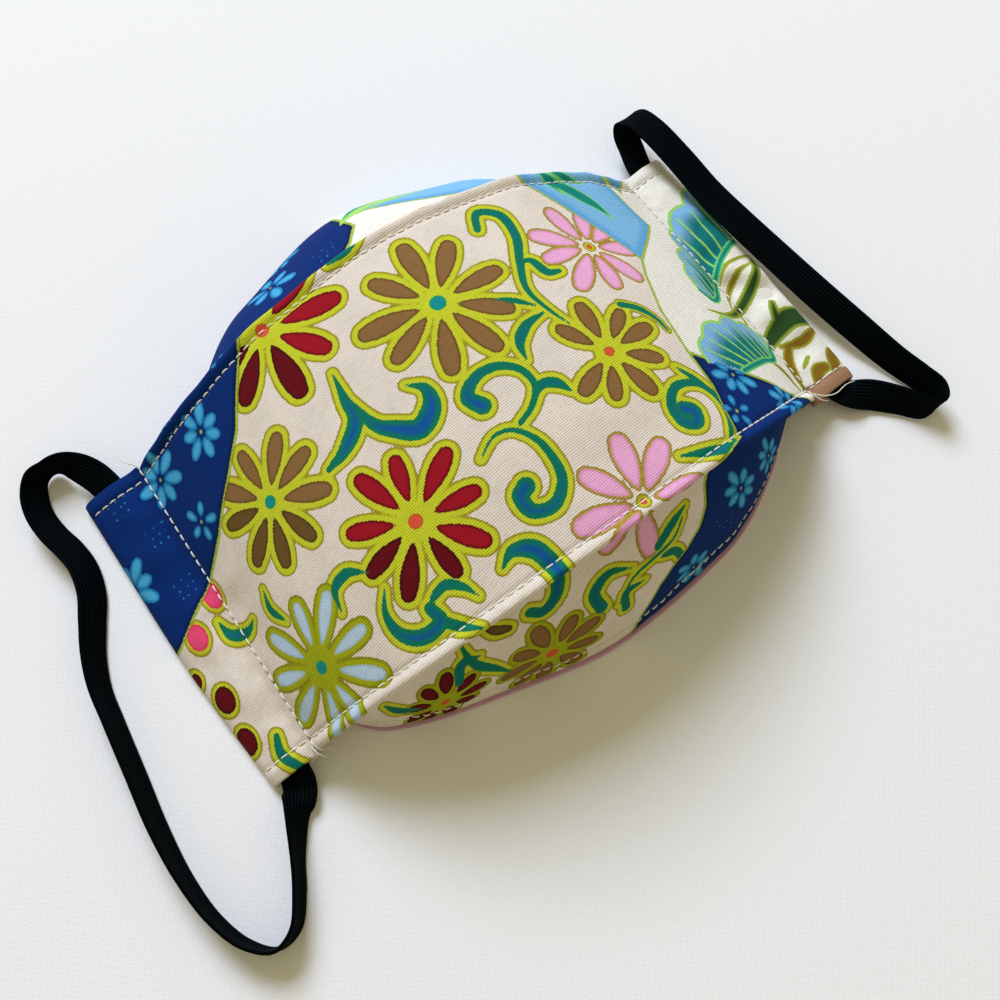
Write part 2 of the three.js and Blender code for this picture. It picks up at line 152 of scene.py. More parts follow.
@dataclass
class Skin:
    """A closed mesh in the part's millimetres.

    Attributes:
        points: a point a row.
        quads: four corners a row.
        caps: faces with more corners.
        traits: named vectors, one a point, that a finish reads.
    """

    points: Array
    quads: Array
    caps: list[Array] = field(default_factory=list)
    traits: dict[str, Array] = field(default_factory=dict)

    @staticmethod
    def grid(points: Array, traits: dict[str, Array] | None = None, hoop: bool = False) -> "Skin":
        """Skin of rings of points, each ring closed on itself.

        Args:
            points: rings by points by 3.
            traits: vectors of the same layout.
            hoop: if the last ring joins the first. If not, a flat face closes each end.

        Returns:
            The closed skin.
        """
        rings, count = points.shape[:2]
        index = np.arange(rings * count).reshape(rings, count)
        ahead = np.roll(index, -1, axis=0) if hoop else index[1:]
        here = index if hoop else index[:-1]
        quads = np.stack([here, ahead, np.roll(ahead, -1, axis=1), np.roll(here, -1, axis=1)], axis=-1)
        caps = [] if hoop else [index[0], index[-1][::-1]]
        flat = {name: values.reshape(-1, 3) for name, values in (traits or {}).items()}
        return Skin(points.reshape(-1, 3), quads.reshape(-1, 4), caps, flat)

    @staticmethod
    def join(skins: list["Skin"]) -> "Skin":
        """Several skins as one mesh."""
        starts = np.cumsum([0] + [len(skin.points) for skin in skins[:-1]])
        return Skin(
            np.concatenate([skin.points for skin in skins]),
            np.concatenate([skin.quads + start for skin, start in zip(skins, starts)]),
            [cap + start for skin, start in zip(skins, starts) for cap in skin.caps],
            {name: np.concatenate([skin.traits[name] for skin in skins]) for name in skins[0].traits},
        )

    def volume(self) -> float:
        """Volume inside the quads, below zero where their corners run the wrong way round."""
        a, b, c, d = (self.points[self.quads[:, k]] for k in range(4))
        return float(np.sum(a * np.cross(b, c)) + np.sum(a * np.cross(c, d))) / 6

    def write(self, name: str, shift: Array) -> bpy.types.Object:
        """Puts the skin in the scene with its faces turned outwards.

        Args:
            name: name of the object and its mesh.
            shift: from the part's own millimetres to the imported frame's.

        Returns:
            The new object, at the origin.
        """
        turn = -1 if self.volume() < 0 else 1
        corners = [self.quads[:, ::turn].ravel(), *(cap[::turn] for cap in self.caps)]
        sizes = np.array([4] * len(self.quads) + [len(cap) for cap in self.caps])
        loops = np.concatenate(corners).astype(np.int32)
        mesh = bpy.data.meshes.new(name)
        mesh.vertices.add(len(self.points))
        mesh.vertices.foreach_set("co", ((self.points + shift) * MM).astype(np.float32).ravel())
        mesh.loops.add(len(loops))
        mesh.loops.foreach_set("vertex_index", loops)
        mesh.polygons.add(len(sizes))
        mesh.polygons.foreach_set("loop_start", (np.cumsum(sizes) - sizes).astype(np.int32))
        mesh.polygons.foreach_set("use_smooth", np.ones(len(sizes), bool))
        for trait, values in self.traits.items():
            layer = mesh.attributes.new(trait, "FLOAT_VECTOR", "POINT")
            layer.data.foreach_set("vector", values.astype(np.float32).ravel())
        mesh.update(calc_edges=True)
        mesh.validate()
        piece = bpy.data.objects.new(name, mesh)
        bpy.context.scene.collection.objects.link(piece)
        return piece


def dress(
    piece: bpy.types.Object, material: bpy.types.Material, stands_for: str = "",
) -> None:
    """Gives a finished piece its material and its body, and hides the solid that it stands for."""
    piece.data.materials.append(material)
    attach(piece, "root")
    if stands_for:
        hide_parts(stands_for)
    LOG.info("%s: %d faces", piece.name, len(piece.data.polygons))


# ---- Shader building ----


class Signal:
    """A number carried by a shader socket. Arithmetic on it adds the Math nodes."""

    def __init__(self, tree: "Tree", socket: bpy.types.NodeSocket) -> None:
        """Wraps a socket of a tree."""
        self.tree = tree
        self.socket = socket

    def __add__(self, other: "Signal | float") -> "Signal":
        """This plus another."""
        return self.tree.math("ADD", self, other)

    def __sub__(self, other: "Signal | float") -> "Signal":
        """This minus another."""
        return self.tree.math("SUBTRACT", self, other)

    def __rsub__(self, other: float) -> "Signal":
        """A number minus this."""
        return self.tree.math("SUBTRACT", other, self)

    def __mul__(self, other: "Signal | float") -> "Signal":
        """This times another."""
        return self.tree.math("MULTIPLY", self, other)

    __radd__ = __add__
    __rmul__ = __mul__

    def sine(self) -> "Signal":
        """Sine of this, in radians."""
        return self.tree.math("SINE", self)

    def step(self, low: float, high: float) -> "Signal":
        """0 up to low and 1 from high, with a smooth rise between them. Low may be the greater."""
        made = self.tree.node("ShaderNodeMapRange", {"interpolation_type": "SMOOTHSTEP", "clamp": True}, {
            "Value": self, "From Min": low, "From Max": high, "To Min": 0.0, "To Max": 1.0})
        return Signal(self.tree, made.outputs["Result"])


Feed = Signal | bpy.types.NodeSocket | float | tuple


class Tree:
    """Node tree of a new material."""

    def __init__(self, name: str) -> None:
        """Starts an empty tree under a material's name."""
        self.material = bpy.data.materials.new(name)
        self.material.use_nodes = True
        self.nodes = self.material.node_tree.nodes
        self.links = self.material.node_tree.links
        self.nodes.clear()

    def node(self, kind: str, settings: dict | None = None, sockets: dict | None = None) -> bpy.types.Node:
        """Adds a node of any type.

        Args:
            kind: its type.
            settings: its own options, set first.
            sockets: for an input's name or number, a value, a socket or a signal.

        Returns:
            The node.
        """
        made = self.nodes.new(kind)
        for option, value in (settings or {}).items():
            setattr(made, option, value)
        for key, value in (sockets or {}).items():
            source = value.socket if isinstance(value, Signal) else value
            if isinstance(source, bpy.types.NodeSocket):
                self.links.new(source, made.inputs[key])
            else:
                made.inputs[key].default_value = source
        return made

    def math(self, operation: str, *values: Feed) -> Signal:
        """Math node on one or two numbers."""
        made = self.node("ShaderNodeMath", {"operation": operation}, dict(enumerate(values)))
        return Signal(self, made.outputs[0])

    def blend(self, share: Feed, low: Feed, high: Feed) -> bpy.types.NodeSocket:
        """Colour from low, at a share of 0, to high, at a share of 1."""
        colours = [(*value, 1.0) if isinstance(value, tuple) else value for value in (low, high)]
        made = self.node("ShaderNodeMix", {"data_type": "RGBA", "clamp_factor": True}, {
            0: share, 6: colours[0], 7: colours[1]})
        return made.outputs[2]

    def trait(self, name: str) -> tuple[bpy.types.NodeSocket, list[Signal]]:
        """A vector stored on the mesh, whole and as its three numbers."""
        vector = self.node("ShaderNodeAttribute", {"attribute_name": name}).outputs["Vector"]
        parts = self.node("ShaderNodeSeparateXYZ", {}, {0: vector})
        return vector, [Signal(self, output) for output in parts.outputs]

    def scaled(self, vector: bpy.types.NodeSocket, scale: Rgb) -> bpy.types.NodeSocket:
        """A vector with each part multiplied."""
        return self.node("ShaderNodeVectorMath", {"operation": "MULTIPLY"}, {0: vector, 1: scale}).outputs[0]

    def noise(self, vector: bpy.types.NodeSocket, scale: float, detail: float = 2.0) -> Signal:
        """Smooth noise from 0 to 1 with a middle of about a half."""
        made = self.node("ShaderNodeTexNoise", {}, {"Vector": vector, "Scale": scale, "Detail": detail})
        return Signal(self, made.outputs[0])

    def bump(self, height: Signal, distance: float, strength: float) -> bpy.types.NodeSocket:
        """Normal of a surface raised by a height of 0 to 1 times a distance in metres."""
        made = self.node("ShaderNodeBump", {}, {"Height": height, "Distance": distance, "Strength": strength})
        return made.outputs[0]

    def finish(
        self, colour: Feed, roughness: Feed, normal: Feed, **plain: float | tuple,
    ) -> bpy.types.Material:
        """Closes the tree with a principled shader.

        Args:
            colour: what feeds the base colour.
            roughness: a number or what feeds it.
            normal: what feeds the normal.
            **plain: the shader's other sockets, with underscores for spaces, each a plain value.

        Returns:
            The finished material.
        """
        sockets = {"Base Color": colour, "Roughness": roughness, "Normal": normal}
        sockets.update({name.replace("_", " "): value for name, value in plain.items()})
        shader = self.node("ShaderNodeBsdfPrincipled", {}, sockets)
        self.node("ShaderNodeOutputMaterial", {}, {"Surface": shader.outputs[0]})
        return self.material


# ---- The printed pattern ----


class Ink(Enum):
    """Inks in the order that they are laid down: colour at the edge and inside, and where that starts."""

    WHITE = (linear(230, 226, 215), linear(236, 233, 223), 1.0)
    NAVY = (linear(0, 26, 72), linear(0, 42, 110), 2.0)
    SKY = (linear(98, 166, 216), linear(124, 184, 226), 4.0)
    BRANCH = (linear(146, 166, 48), linear(42, 74, 34), 1.3)
    GOLD = (linear(160, 170, 54), linear(140, 108, 30), 0.9)
    HEDGE = (linear(150, 176, 60), linear(176, 200, 70), 0.4)
    FAN = (linear(126, 180, 224), linear(8, 118, 120), 8.0)
    RIB = (linear(150, 206, 96), linear(164, 214, 108), 0.4)
    LEAF = (linear(120, 206, 110), linear(14, 134, 122), 0.8)
    BLOSSOM = (linear(30, 126, 182), linear(72, 168, 216), 0.9)
    LIME = (linear(156, 142, 30), linear(198, 205, 44), 0.75)
    OLIVE = (linear(140, 138, 22), linear(164, 172, 20), 0.9)
    TAN = (linear(150, 116, 44), linear(176, 150, 60), 0.35)
    BROWN = (linear(112, 80, 38), linear(138, 102, 60), 0.8)
    UMBER = (linear(82, 62, 24), linear(106, 80, 38), 0.8)
    CRIMSON = (linear(112, 10, 22), linear(158, 18, 34), 0.9)
    MAROON = (linear(70, 8, 12), linear(100, 10, 20), 0.9)
    PINK = (linear(224, 150, 194), linear(236, 172, 212), 0.8)
    ICE = (linear(166, 194, 216), linear(186, 210, 232), 0.7)
    TEAL = (linear(10, 118, 86), linear(14, 86, 154), 1.9)
    ROSE = (linear(226, 60, 96), linear(238, 78, 126), 0.8)
    CORAL = (linear(196, 96, 44), linear(226, 84, 62), 0.7)
    SEA = (linear(20, 150, 104), linear(16, 140, 150), 0.9)
    HEM = (linear(150, 112, 84), linear(164, 126, 98), 1.0)


def petal(near: Array, far: Array, width: float) -> tuple[Array, Array]:
    """Middle line of a petal and half of its width along it: a point that swells like a leaf to a round tip.

    Args:
        near: where the petal starts.
        far: its tip.
        width: at its widest, two thirds of the way out.

    Returns:
        The line's points, and half the width at each.
    """
    swell = np.array([0.05, 0.36, 0.66, 0.89, 1.0, 0.95, 0.8]) * width / 2
    shares = np.array([0, 0.12, 0.3, 0.5, 0.7, 0.87, 1.0])[:, None]
    end = far - unit(far - near) * swell[-1]
    return near * (1 - shares) + end * shares, swell


def stroke(spot: Array, line: Array, half: Array) -> Array:
    """Distance to a pen stroke, below zero inside it.

    Args:
        spot: points on the cloth.
        line: the stroke's middle, two numbers a row.
        half: half of its width at each of those.

    Returns:
        The least, over the line's straight pieces, of the distance to the piece less its half width there.
    """
    start, run = line[:-1], np.diff(line, axis=0)
    offset = spot[:, None] - start[None]
    share = np.clip((offset * run).sum(-1) / np.maximum((run * run).sum(-1), 1e-9), 0, 1)
    away = np.linalg.norm(offset - share[..., None] * run, axis=-1)
    return (away - (half[:-1] + share * np.diff(half))).min(axis=1)


def polygon(spot: Array, outline: Array) -> Array:
    """Distance to a closed outline, below zero inside it.

    The distance is to the nearest side, and its sign comes from how many sides a line to the right of the
    point crosses.
    """
    start, run = outline, np.roll(outline, -1, axis=0) - outline
    offset = spot[:, None] - start[None]
    share = np.clip((offset * run).sum(-1) / np.maximum((run * run).sum(-1), 1e-9), 0, 1)
    away = np.linalg.norm(offset - share[..., None] * run, axis=-1).min(axis=1)
    above = offset[..., 1] >= 0
    end_above = spot[:, None, 1] >= (start + run)[None, :, 1]
    left = run[None, :, 0] * offset[..., 1] - run[None, :, 1] * offset[..., 0]
    crossed = (above & ~end_above & (left < 0)) | (~above & end_above & (left > 0))
    return np.where(crossed.sum(axis=1) % 2 == 1, -away, away)


@dataclass(frozen=True)
class Daisy:
    """A flower of even petals with an outline and a round heart.

    Attributes:
        middle: its place on the cloth.
        far: from the middle to the petal tips.
        near: from the middle to the petal roots.
        width: of a petal.
        phase: compass of the first petal in degrees.
        fill: ink of the petals.
        shade: ink of the petals that turn to the lower left, or none.
        count: petals in a full round.
        missing: petals left out.
        outline: ink and width around the petals.
        heart: ink and radius of the middle.
        turned: how far towards the lower left a petal must point to be shaded.
    """

    middle: tuple[float, float]
    far: float
    near: float
    width: float
    phase: float
    fill: Ink
    shade: Ink | None = None
    count: int = 9
    missing: tuple[int, ...] = ()
    outline: tuple[Ink, float] = (Ink.LIME, 1.7)
    heart: tuple[Ink, float] = (Ink.SEA, 1.8)
    turned: float = 0.45

    def lay(self, cloth: "Print") -> None:
        """Adds the flower's shapes to the cloth."""
        bed = np.full(len(cloth.spot), Print.FAR)
        for k in set(range(self.count)) - set(self.missing):
            swing = 3.5 * math.sin(2.4 * k + self.phase)
            stretch = 1 + 0.06 * math.sin(3.7 * k + self.far)
            turn = math.radians(self.phase + 360 * k / self.count + swing)
            way = np.array([math.cos(turn), math.sin(turn)])
            away = cloth.stroke(*petal(self.middle + way * self.near, self.middle + way * self.far * stretch,
                                       self.width * stretch))
            dark = self.shade is not None and float(way @ np.array([-0.58, -0.82])) > self.turned
            cloth.add(self.shade if dark else self.fill, away)
            bed = np.minimum(bed, away)
        centre = np.linalg.norm(cloth.spot - np.asarray(self.middle), axis=1)
        ink, width = self.outline
        cloth.add(ink, bed - width)
        heart, radius = self.heart
        bed_ink = Ink.LIME if ink is Ink.TAN else ink
        cloth.add(bed_ink, centre - (radius + 0.9 if ink is Ink.TAN else self.near + 0.4))
        cloth.add(heart, centre - radius)


@dataclass(frozen=True)
class Curl:
    """A scroll drawn with one stroke that swells and tapers.

    Attributes:
        points: places that its middle passes through.
        widest: half of its greatest width.
        swell: where along it that is, from 0 to 1.
        ends: half of its width at the first and the last point.
        ink: its ink.
        outline: ink and width around it, or none.
    """

    points: tuple[tuple[float, float], ...]
    widest: float
    swell: float = 0.6
    ends: tuple[float, float] = (0.15, 0.5)
    ink: Ink = Ink.TEAL
    outline: tuple[Ink, float] | None = (Ink.LIME, 1.5)

    def lay(self, cloth: "Print") -> None:
        """Adds the stroke to the cloth."""
        line = spline(np.array(self.points, float), np.linspace(0, 1, 10 * len(self.points)), True)
        share = lengths(line) / lengths(line)[-1]
        widths = np.array([self.ends[0], self.widest, self.ends[1]])
        half = monotone(np.array([0, self.swell, 1]), widths, share)
        away = cloth.stroke(line, half)
        cloth.add(self.ink, away)
        if self.outline:
            ink, width = self.outline
            cloth.add(ink, away - width)


@dataclass(frozen=True)
class Patch:
    """A ground of its own colour with a thin line around it."""

    ink: Ink
    outline: tuple[tuple[float, float], ...]
    hedge: float = 0.42

    def lay(self, cloth: "Print") -> None:
        """Adds the ground, which hides the ground motifs under it, and its border."""
        away = polygon(cloth.spot, np.array(self.outline, float))
        cloth.cover(away)
        cloth.add(self.ink, away)
        cloth.add(Ink.HEDGE, np.abs(away) - self.hedge)


@dataclass(frozen=True)
class Blossom:
    """A small flower without an outline, that shows only on the navy ground."""

    middle: tuple[float, float]
    far: float = 7.6
    phase: float = 0.0
    count: int = 7

    def lay(self, cloth: "Print") -> None:
        """Adds its petals and its seed where the ground is navy."""
        for k in range(self.count):
            turn = math.radians(self.phase + 360 * k / self.count)
            way = np.array([math.cos(turn), math.sin(turn)])
            tip = self.far * (1 + 0.12 * math.sin(2.1 * k + self.phase))
            away = cloth.stroke(*petal(self.middle + way * 1.5, self.middle + way * tip, 0.46 * self.far))
            cloth.add(Ink.BLOSSOM, np.maximum(away, cloth.fields[Ink.NAVY]))
        centre = np.linalg.norm(cloth.spot - np.asarray(self.middle), axis=1)
        cloth.add(Ink.HEDGE, np.maximum(centre - 0.5, cloth.fields[Ink.NAVY]))


@dataclass(frozen=True)
class Sprinkle:
    """A cluster of small light dots on the navy ground."""

    middle: tuple[float, float]

    def lay(self, cloth: "Print") -> None:
        """Adds three short rows of dots where the ground is navy."""
        for k in range(9):
            row, column = divmod(k, 3)
            step = [2.2 * column - 2 + 0.5 * math.sin(5 * k), 2 * row - 2 + 0.04 * k]
            spot = np.asarray(self.middle) + step
            away = np.linalg.norm(cloth.spot - spot, axis=1) - 0.36
            cloth.add(Ink.BLOSSOM, np.maximum(away, cloth.fields[Ink.NAVY]))


@dataclass(frozen=True)
class Fan:
    """A ribbed leaf that spreads from one side of a stem to a scalloped rim.

    Attributes:
        stem: points of the stem.
        rim: points between the scallops, in the stem's order.
        ribs: how many ribs cross each scallop.
        half: half of the stem's width.
    """

    stem: tuple[tuple[float, float], ...]
    rim: tuple[tuple[float, float], ...]
    ribs: int = 2
    half: float = 1.1

    def lay(self, cloth: "Print") -> None:
        """Adds the leaf, shaded from its rim inwards, its ribs, its rim line and its stem."""
        stem = spline(np.array(self.stem, float), np.linspace(0, 1, 24), True)
        rim = np.array(self.rim, float)
        t = np.linspace(0, 1, 9)[None, :, None]
        run = rim[1:] - rim[:-1]
        away = unit(np.stack([run[:, 1], -run[:, 0]], axis=1))
        away = away * np.sign((away * (rim.mean(axis=0) - stem.mean(axis=0))).sum(axis=1, keepdims=True))
        bulge = 0.22 * np.linalg.norm(run, axis=1)[:, None, None] * np.sin(np.pi * t)
        edge = (rim[:-1, None] + run[:, None] * t + away[:, None] * bulge).reshape(-1, 2)
        whole = polygon(cloth.spot, np.concatenate([stem, edge[::-1]]))
        thin = np.full(len(edge), 0.5)
        border = cloth.stroke(edge, thin)
        cloth.add(Ink.FAN, np.where(whole < 0, -border - 1, np.maximum(whole, 0.2)))
        cloth.add(Ink.RIB, border)
        count = self.ribs * (len(rim) - 1)
        for k in range(1, count):
            share = k / count
            root = stem[round(share * 23)]
            tip = edge[round(share * (len(edge) - 1))]
            line = root * (1 - t[0]) + (root * 0.12 + tip * 0.88) * t[0]
            cloth.add(Ink.RIB, cloth.stroke(line, np.linspace(0.42, 0.34, 9)))
        trunk = cloth.stroke(stem, np.full(24, self.half))
        cloth.add(Ink.LEAF, trunk)


BROWN_DAISY = {"fill": Ink.BROWN}
RED_DAISY = {"fill": Ink.CRIMSON, "shade": Ink.MAROON, "heart": (Ink.CORAL, 1.7)}
PINK_DAISY = {"fill": Ink.PINK, "outline": (Ink.TAN, 0.7), "heart": (Ink.CORAL, 0.9)}

MOTIFS = (
    Patch(Ink.WHITE, ((46.7, -18.4), (49, -5.6), (54, 4.8), (57.3, 9.3), (52.3, 21), (44, 46), (44, 120),
                      (140, 120), (140, -41.5), (74, -41.5))),
    Patch(Ink.WHITE, ((-8, 48.2), (-8, 49.5), (-3, 54), (1, 60), (0, 67), (-0.5, 120), (50, 120),
                      (50, 48.2))),
    Patch(Ink.NAVY, ((-38.4, 43.2), (-44.6, 35.5), (-52, 26.2), (-61.6, 18.9), (-72.8, 11.5), (-83.3, 6.7),
                     (-90.2, 3.2), (-100.2, -2.1), (-140, -8), (-140, 120), (-0.5, 120), (0, 67), (1, 60),
                     (-3, 54), (-8, 49.5), (-8, 48.2), (-20, 47.4), (-34, 46.2))),
    Patch(Ink.SKY, ((40.6, 43.6), (42.3, 39.9), (46.9, 31.6), (52.3, 21), (57.3, 9.3), (75, 21.3), (73.4, 27),
                    (70.6, 38.6), (66, 60), (40, 60))),
    Patch(Ink.NAVY, ((46.7, -18.4), (58, -27), (70.6, -36.6), (80, -41.2), (140, -43), (140, -120),
                     (1.5, -120), (1.5, -87), (4.5, -80), (10.5, -71), (15, -67.5), (20, -65), (25, -61),
                     (28, -56), (29.4, -50), (33, -44.5), (41.8, -41.6), (43.6, -35), (46, -28))),
    Fan(((104, 10.5), (97, 8.4), (91, 5.4), (85, 1), (79, -4.2), (73, -6), (70.4, -2.4)),
        ((105, 30), (95.5, 25.5), (86, 20), (81, 12.5), (74.4, 6.5), (70.2, -1.5))),
    Fan(((60, -27.6), (66, -27), (73, -26.2), (79.4, -26), (82.4, -22.6)),
        ((50.5, -22.5), (56, -15.5), (66, -13.4), (76, -13.6), (83, -17), (84.4, -21))),
    Curl(((47, 44), (51, 39), (55, 34), (58.6, 28.6), (60.4, 23)), 2.3, 0.55, (0.9, 0.15), Ink.LEAF, None),
    Curl(((50, 44), (55, 40), (62, 36.6)), 1.4, 0.4, (1.0, 0.15), Ink.LEAF, None),
    Curl(((48.4, 42), (50, 37.4), (51, 33.4)), 1.0, 0.4, (0.8, 0.1), Ink.LEAF, None),
    Patch(Ink.SKY, ((6, 66), (11, 62), (20, 57), (30, 52.5), (38, 50), (50, 50), (50, 110), (6, 110))),
    Curl(((-1, 65), (3, 68.5), (9, 70), (16, 68), (24, 67)), 3.0, 0.35, (0.3, 0.5), Ink.RIB, None),
    Curl(((1, 68), (6, 73), (14, 74), (26, 71)), 2.0, 0.4, (0.5, 0.4), Ink.LEAF, None),
    Curl(((3, 66.4), (8, 65.4), (13, 65.6), (18, 63.4)), 0.6, 0.4, (0.2, 0.2), Ink.RIB, None),
    Curl(((66, -8.8), (73, -11), (81, -10.4), (91, -6.4), (99, -1.4), (103, 4)), 1.9, 0.62, (0.3, 0.9),
         Ink.BRANCH, None),
    Curl(((80, -9), (87, -3), (94, 0.6), (101, 2)), 1.0, 0.5, (0.3, 0.4), Ink.GOLD, None),
    Curl(((84, -2), (90, 3), (97, 4.6), (103, 4)), 0.7, 0.5, (0.2, 0.3), Ink.GOLD, None),
    Curl(((83.5, -21.5), (90, -19), (97, -17.6), (106, -19)), 3.6, 0.7, (2.0, 3.8), Ink.BRANCH, None),
    Curl(((92, -18), (93.6, -13.6), (96, -11)), 1.7, 0.3, (1.8, 1.0), Ink.BRANCH, None),
    Curl(((88, -23), (95, -24.5), (104, -22)), 1.6, 0.5, (0.8, 0.8), Ink.GOLD, None),
    Curl(((90, -24), (86, -28.6), (84, -34), (83, -38)), 1.9, 0.4, (1.4, 0.9), Ink.GOLD, None),
    Curl(((76, -26), (79, -30), (80.4, -36)), 1.1, 0.4, (0.5, 0.5), Ink.GOLD, None),
    Curl(((80, -16.4), (82.4, -13), (82, -9.8)), 0.6, 0.5, (0.5, 0.4), Ink.GOLD, None),
    Curl(((89, -31), (93, -28.8)), 0.7, 0.5, (0.4, 0.6), Ink.BRANCH, None),
    Curl(((90, -37), (92, -33.6), (95.4, -33.4)), 2.1, 0.5, (1.9, 1.6), Ink.GOLD, None),
    Curl(((98, -35), (101, -31), (104, -31)), 2.2, 0.5, (1.9, 1.6), Ink.GOLD, None),
    Patch(Ink.SKY, ((75.4, 34), (80, 38), (88, 44.4), (92, 60), (70, 60), (70, 40))),
    Blossom((-80.2, 34.1), 7.6, 20),
    Blossom((-60.5, 33.0), 6.8, 5),
    Blossom((-103.5, 17.5), 7.4, 40, 8),
    Blossom((-75.5, 17.5), 5.2, 50, 5),
    Blossom((-47, 47.5), 6.0, 12),
    Blossom((-24, 62), 7.4, 30, 6),
    Blossom((-58, 56), 6.4, 0),
    Blossom((-17, 76), 6.2, 15),
    Sprinkle((-9, 57)),
    Blossom((-40, 74), 6.0, 45),
    Blossom((55, -27.6), 6.2, 8),
    Blossom((66, -39), 5.6, 30),
    Blossom((47, -36), 4.2, 70, 5),
    Blossom((40, -58), 6.4, 10),
    Blossom((22, -76), 6.2, 35),
    Blossom((54, -54), 6.0, 50),
    Sprinkle((-90, 24)),
    Sprinkle((-95, 36)),
    Sprinkle((-68, 41)),
    Sprinkle((-91, 9)),
    Sprinkle((33, -66)),
    Daisy((2.3, 20.1), 18.4, 4.2, 4.9, 5, heart=(Ink.SEA, 2.0), **BROWN_DAISY),
    Daisy((-33, 41.1), 19.4, 4.4, 5.4, -16, **RED_DAISY),
    Daisy((-55.1, 7.2), 15.6, 3.6, 4.3, 8, Ink.BROWN, Ink.UMBER, heart=(Ink.SEA, 1.6), turned=0.1),
    Daisy((-30, -18.3), 16.4, 4.4, 4.4, -9, **RED_DAISY),
    Daisy((28.2, -10.1), 13.6, 3.6, 4.1, 2, heart=(Ink.CORAL, 1.3), missing=(4,), **BROWN_DAISY),
    Daisy((44.2, 16.8), 14.6, 3.4, 4.3, 20, **PINK_DAISY),
    Daisy((12.5, -42.7), 15.6, 3.2, 4.9, 33, count=8, missing=(6,), **PINK_DAISY),
    Daisy((-68.3, -29), 16.2, 5.0, 3.2, 0, Ink.ICE, outline=(Ink.OLIVE, 1.7), heart=(Ink.SEA, 1.6)),
    Daisy((-18.7, -71), 13.0, 3.8, 4.4, 15, heart=(Ink.CORAL, 1.6), outline=(Ink.OLIVE, 1.4), **BROWN_DAISY),
    Daisy((-46, -63), 11.0, 4.0, 3.8, 30, heart=(Ink.CORAL, 1.3), outline=(Ink.OLIVE, 1.3), fill=Ink.MAROON),
    Curl(((-26, 21), (-27.2, 14), (-28, 8.5), (-33.6, 4.3), (-39, 3)), 1.9, 0.62, (0.2, 0.7)),
    Curl(((-26.6, 14), (-25, 4.6), (-22, 1), (-17.6, -2.3), (-12.6, 0.4), (-11.6, 4.5), (-14.7, 8)),
         2.5, 0.62, (0.3, 0.2)),
    Curl(((22, 33), (25, 37.5), (29.5, 34.5), (29, 27), (25, 20), (21.6, 12.6), (22.8, 5), (24.6, 0)),
         1.25, 0.3, (0.9, 0.3)),
    Curl(((24.6, 19.7), (27.4, 19.3), (29, 14.3), (31.6, 13.4)), 1.2, 0.6, (0.4, 0.7)),
    Curl(((13, 14.5), (17.6, 11), (20.5, 8)), 0.8, 0.5, (0.15, 0.3)),
    Curl(((21, 5.5), (15.6, 4.6), (11.6, 1.6), (10.4, -2.6)), 1.35, 0.55, (0.4, 0.3)),
    Curl(((-4, -6.4), (-5.4, -3), (-2.4, -0.4), (3.2, -0.2), (7.8, -3.8), (8.3, -8.7), (4.6, -12.6),
          (0.4, -14.4)), 1.3, 0.25, (2.1, 0.6)),
    Curl(((-11, -16), (-6, -13.6), (-2, -14.6), (1, -19), (1.7, -23.6), (0.6, -29.4), (-4, -33),
          (-8.5, -31.4), (-8.8, -27.4), (-6.6, -26.4)), 1.3, 0.65, (0.2, 2.0)),
    Curl(((6.2, -11.4), (9.4, -9.4), (12.6, -10.6), (14.4, -14)), 1.4, 0.6, (0.5, 0.3)),
    Curl(((38.8, -1), (43, -4), (45.4, -7.8), (46, -11.4)), 0.9, 0.3, (0.9, 0.4), Ink.TEAL, (Ink.LIME, 0.8)),
    Curl(((34.4, -30), (36.2, -31.4), (35, -34), (32.4, -32.6), (32.4, -28), (36.4, -24.6), (42.4, -26.4),
          (44.6, -31), (43.6, -36), (40, -41)), 1.3, 0.3, (2.1, 0.6)),
    Curl(((40, -20.6), (42.6, -25), (44.8, -29)), 0.8, 0.5, (0.3, 0.2)),
    Curl(((26, -38.6), (31, -40.4), (37, -42.6), (44, -44)), 1.5, 0.6, (0.3, 1.2)),
    Curl(((-55.7, -23.4), (-54, -18.6), (-49.4, -17.6), (-45, -20.6)), 1.3, 0.55, (0.15, 0.2)),
    Curl(((-44, -25.6), (-47, -30), (-46.6, -35.4), (-42.6, -38.8), (-37.6, -38.4), (-38, -35)),
         1.8, 0.66, (0.2, 1.4)),
    Curl(((-37.6, -38.4), (-34.6, -42), (-31, -45)), 1.2, 0.3, (1.2, 0.3)),
    Curl(((-36, -33.6), (-32.6, -33), (-29.6, -35.6), (-28, -39)), 1.2, 0.35, (0.9, 0.2)),
    Curl(((-20.6, -37.4), (-17, -35.8), (-13, -38), (-11.6, -42.7), (-11.4, -48), (-13.2, -52.6),
          (-17.2, -54.6), (-20, -52.4)), 2.1, 0.28, (0.3, 1.3)),
    Curl(((-71, -6), (-72.4, -10.7), (-70, -15.4)), 1.0, 0.55, (0.15, 0.2)),
    Curl(((-12, 44.6), (-7.5, 45.4), (-2, 46.4)), 1.7, 0.5, (0.3, 0.3)),
    Curl(((12, 47.6), (14.4, 45.6), (17, 46.8)), 0.3, 0.5, (0.2, 0.2), Ink.LIME, (Ink.LIME, 0.8)),
    Curl(((20, 47.4), (21.4, 45.4), (24, 46.4)), 0.3, 0.5, (0.2, 0.2), Ink.LIME, (Ink.LIME, 0.7)),
    Curl(((-31, -46.4), (-28.6, -50.4), (-25.6, -52.6)), 1.3, 0.7, (0.2, 0.9), Ink.UMBER),
    Curl(((-88.7, -2.6), (-87.5, -7.4), (-83, -9.6), (-79.3, -8.6)), 1.5, 0.5, (0.2, 0.2)),
    Curl(((-91.5, -33), (-92.8, -37), (-91, -41), (-88, -44)), 1.3, 0.4, (0.8, 0.6)),
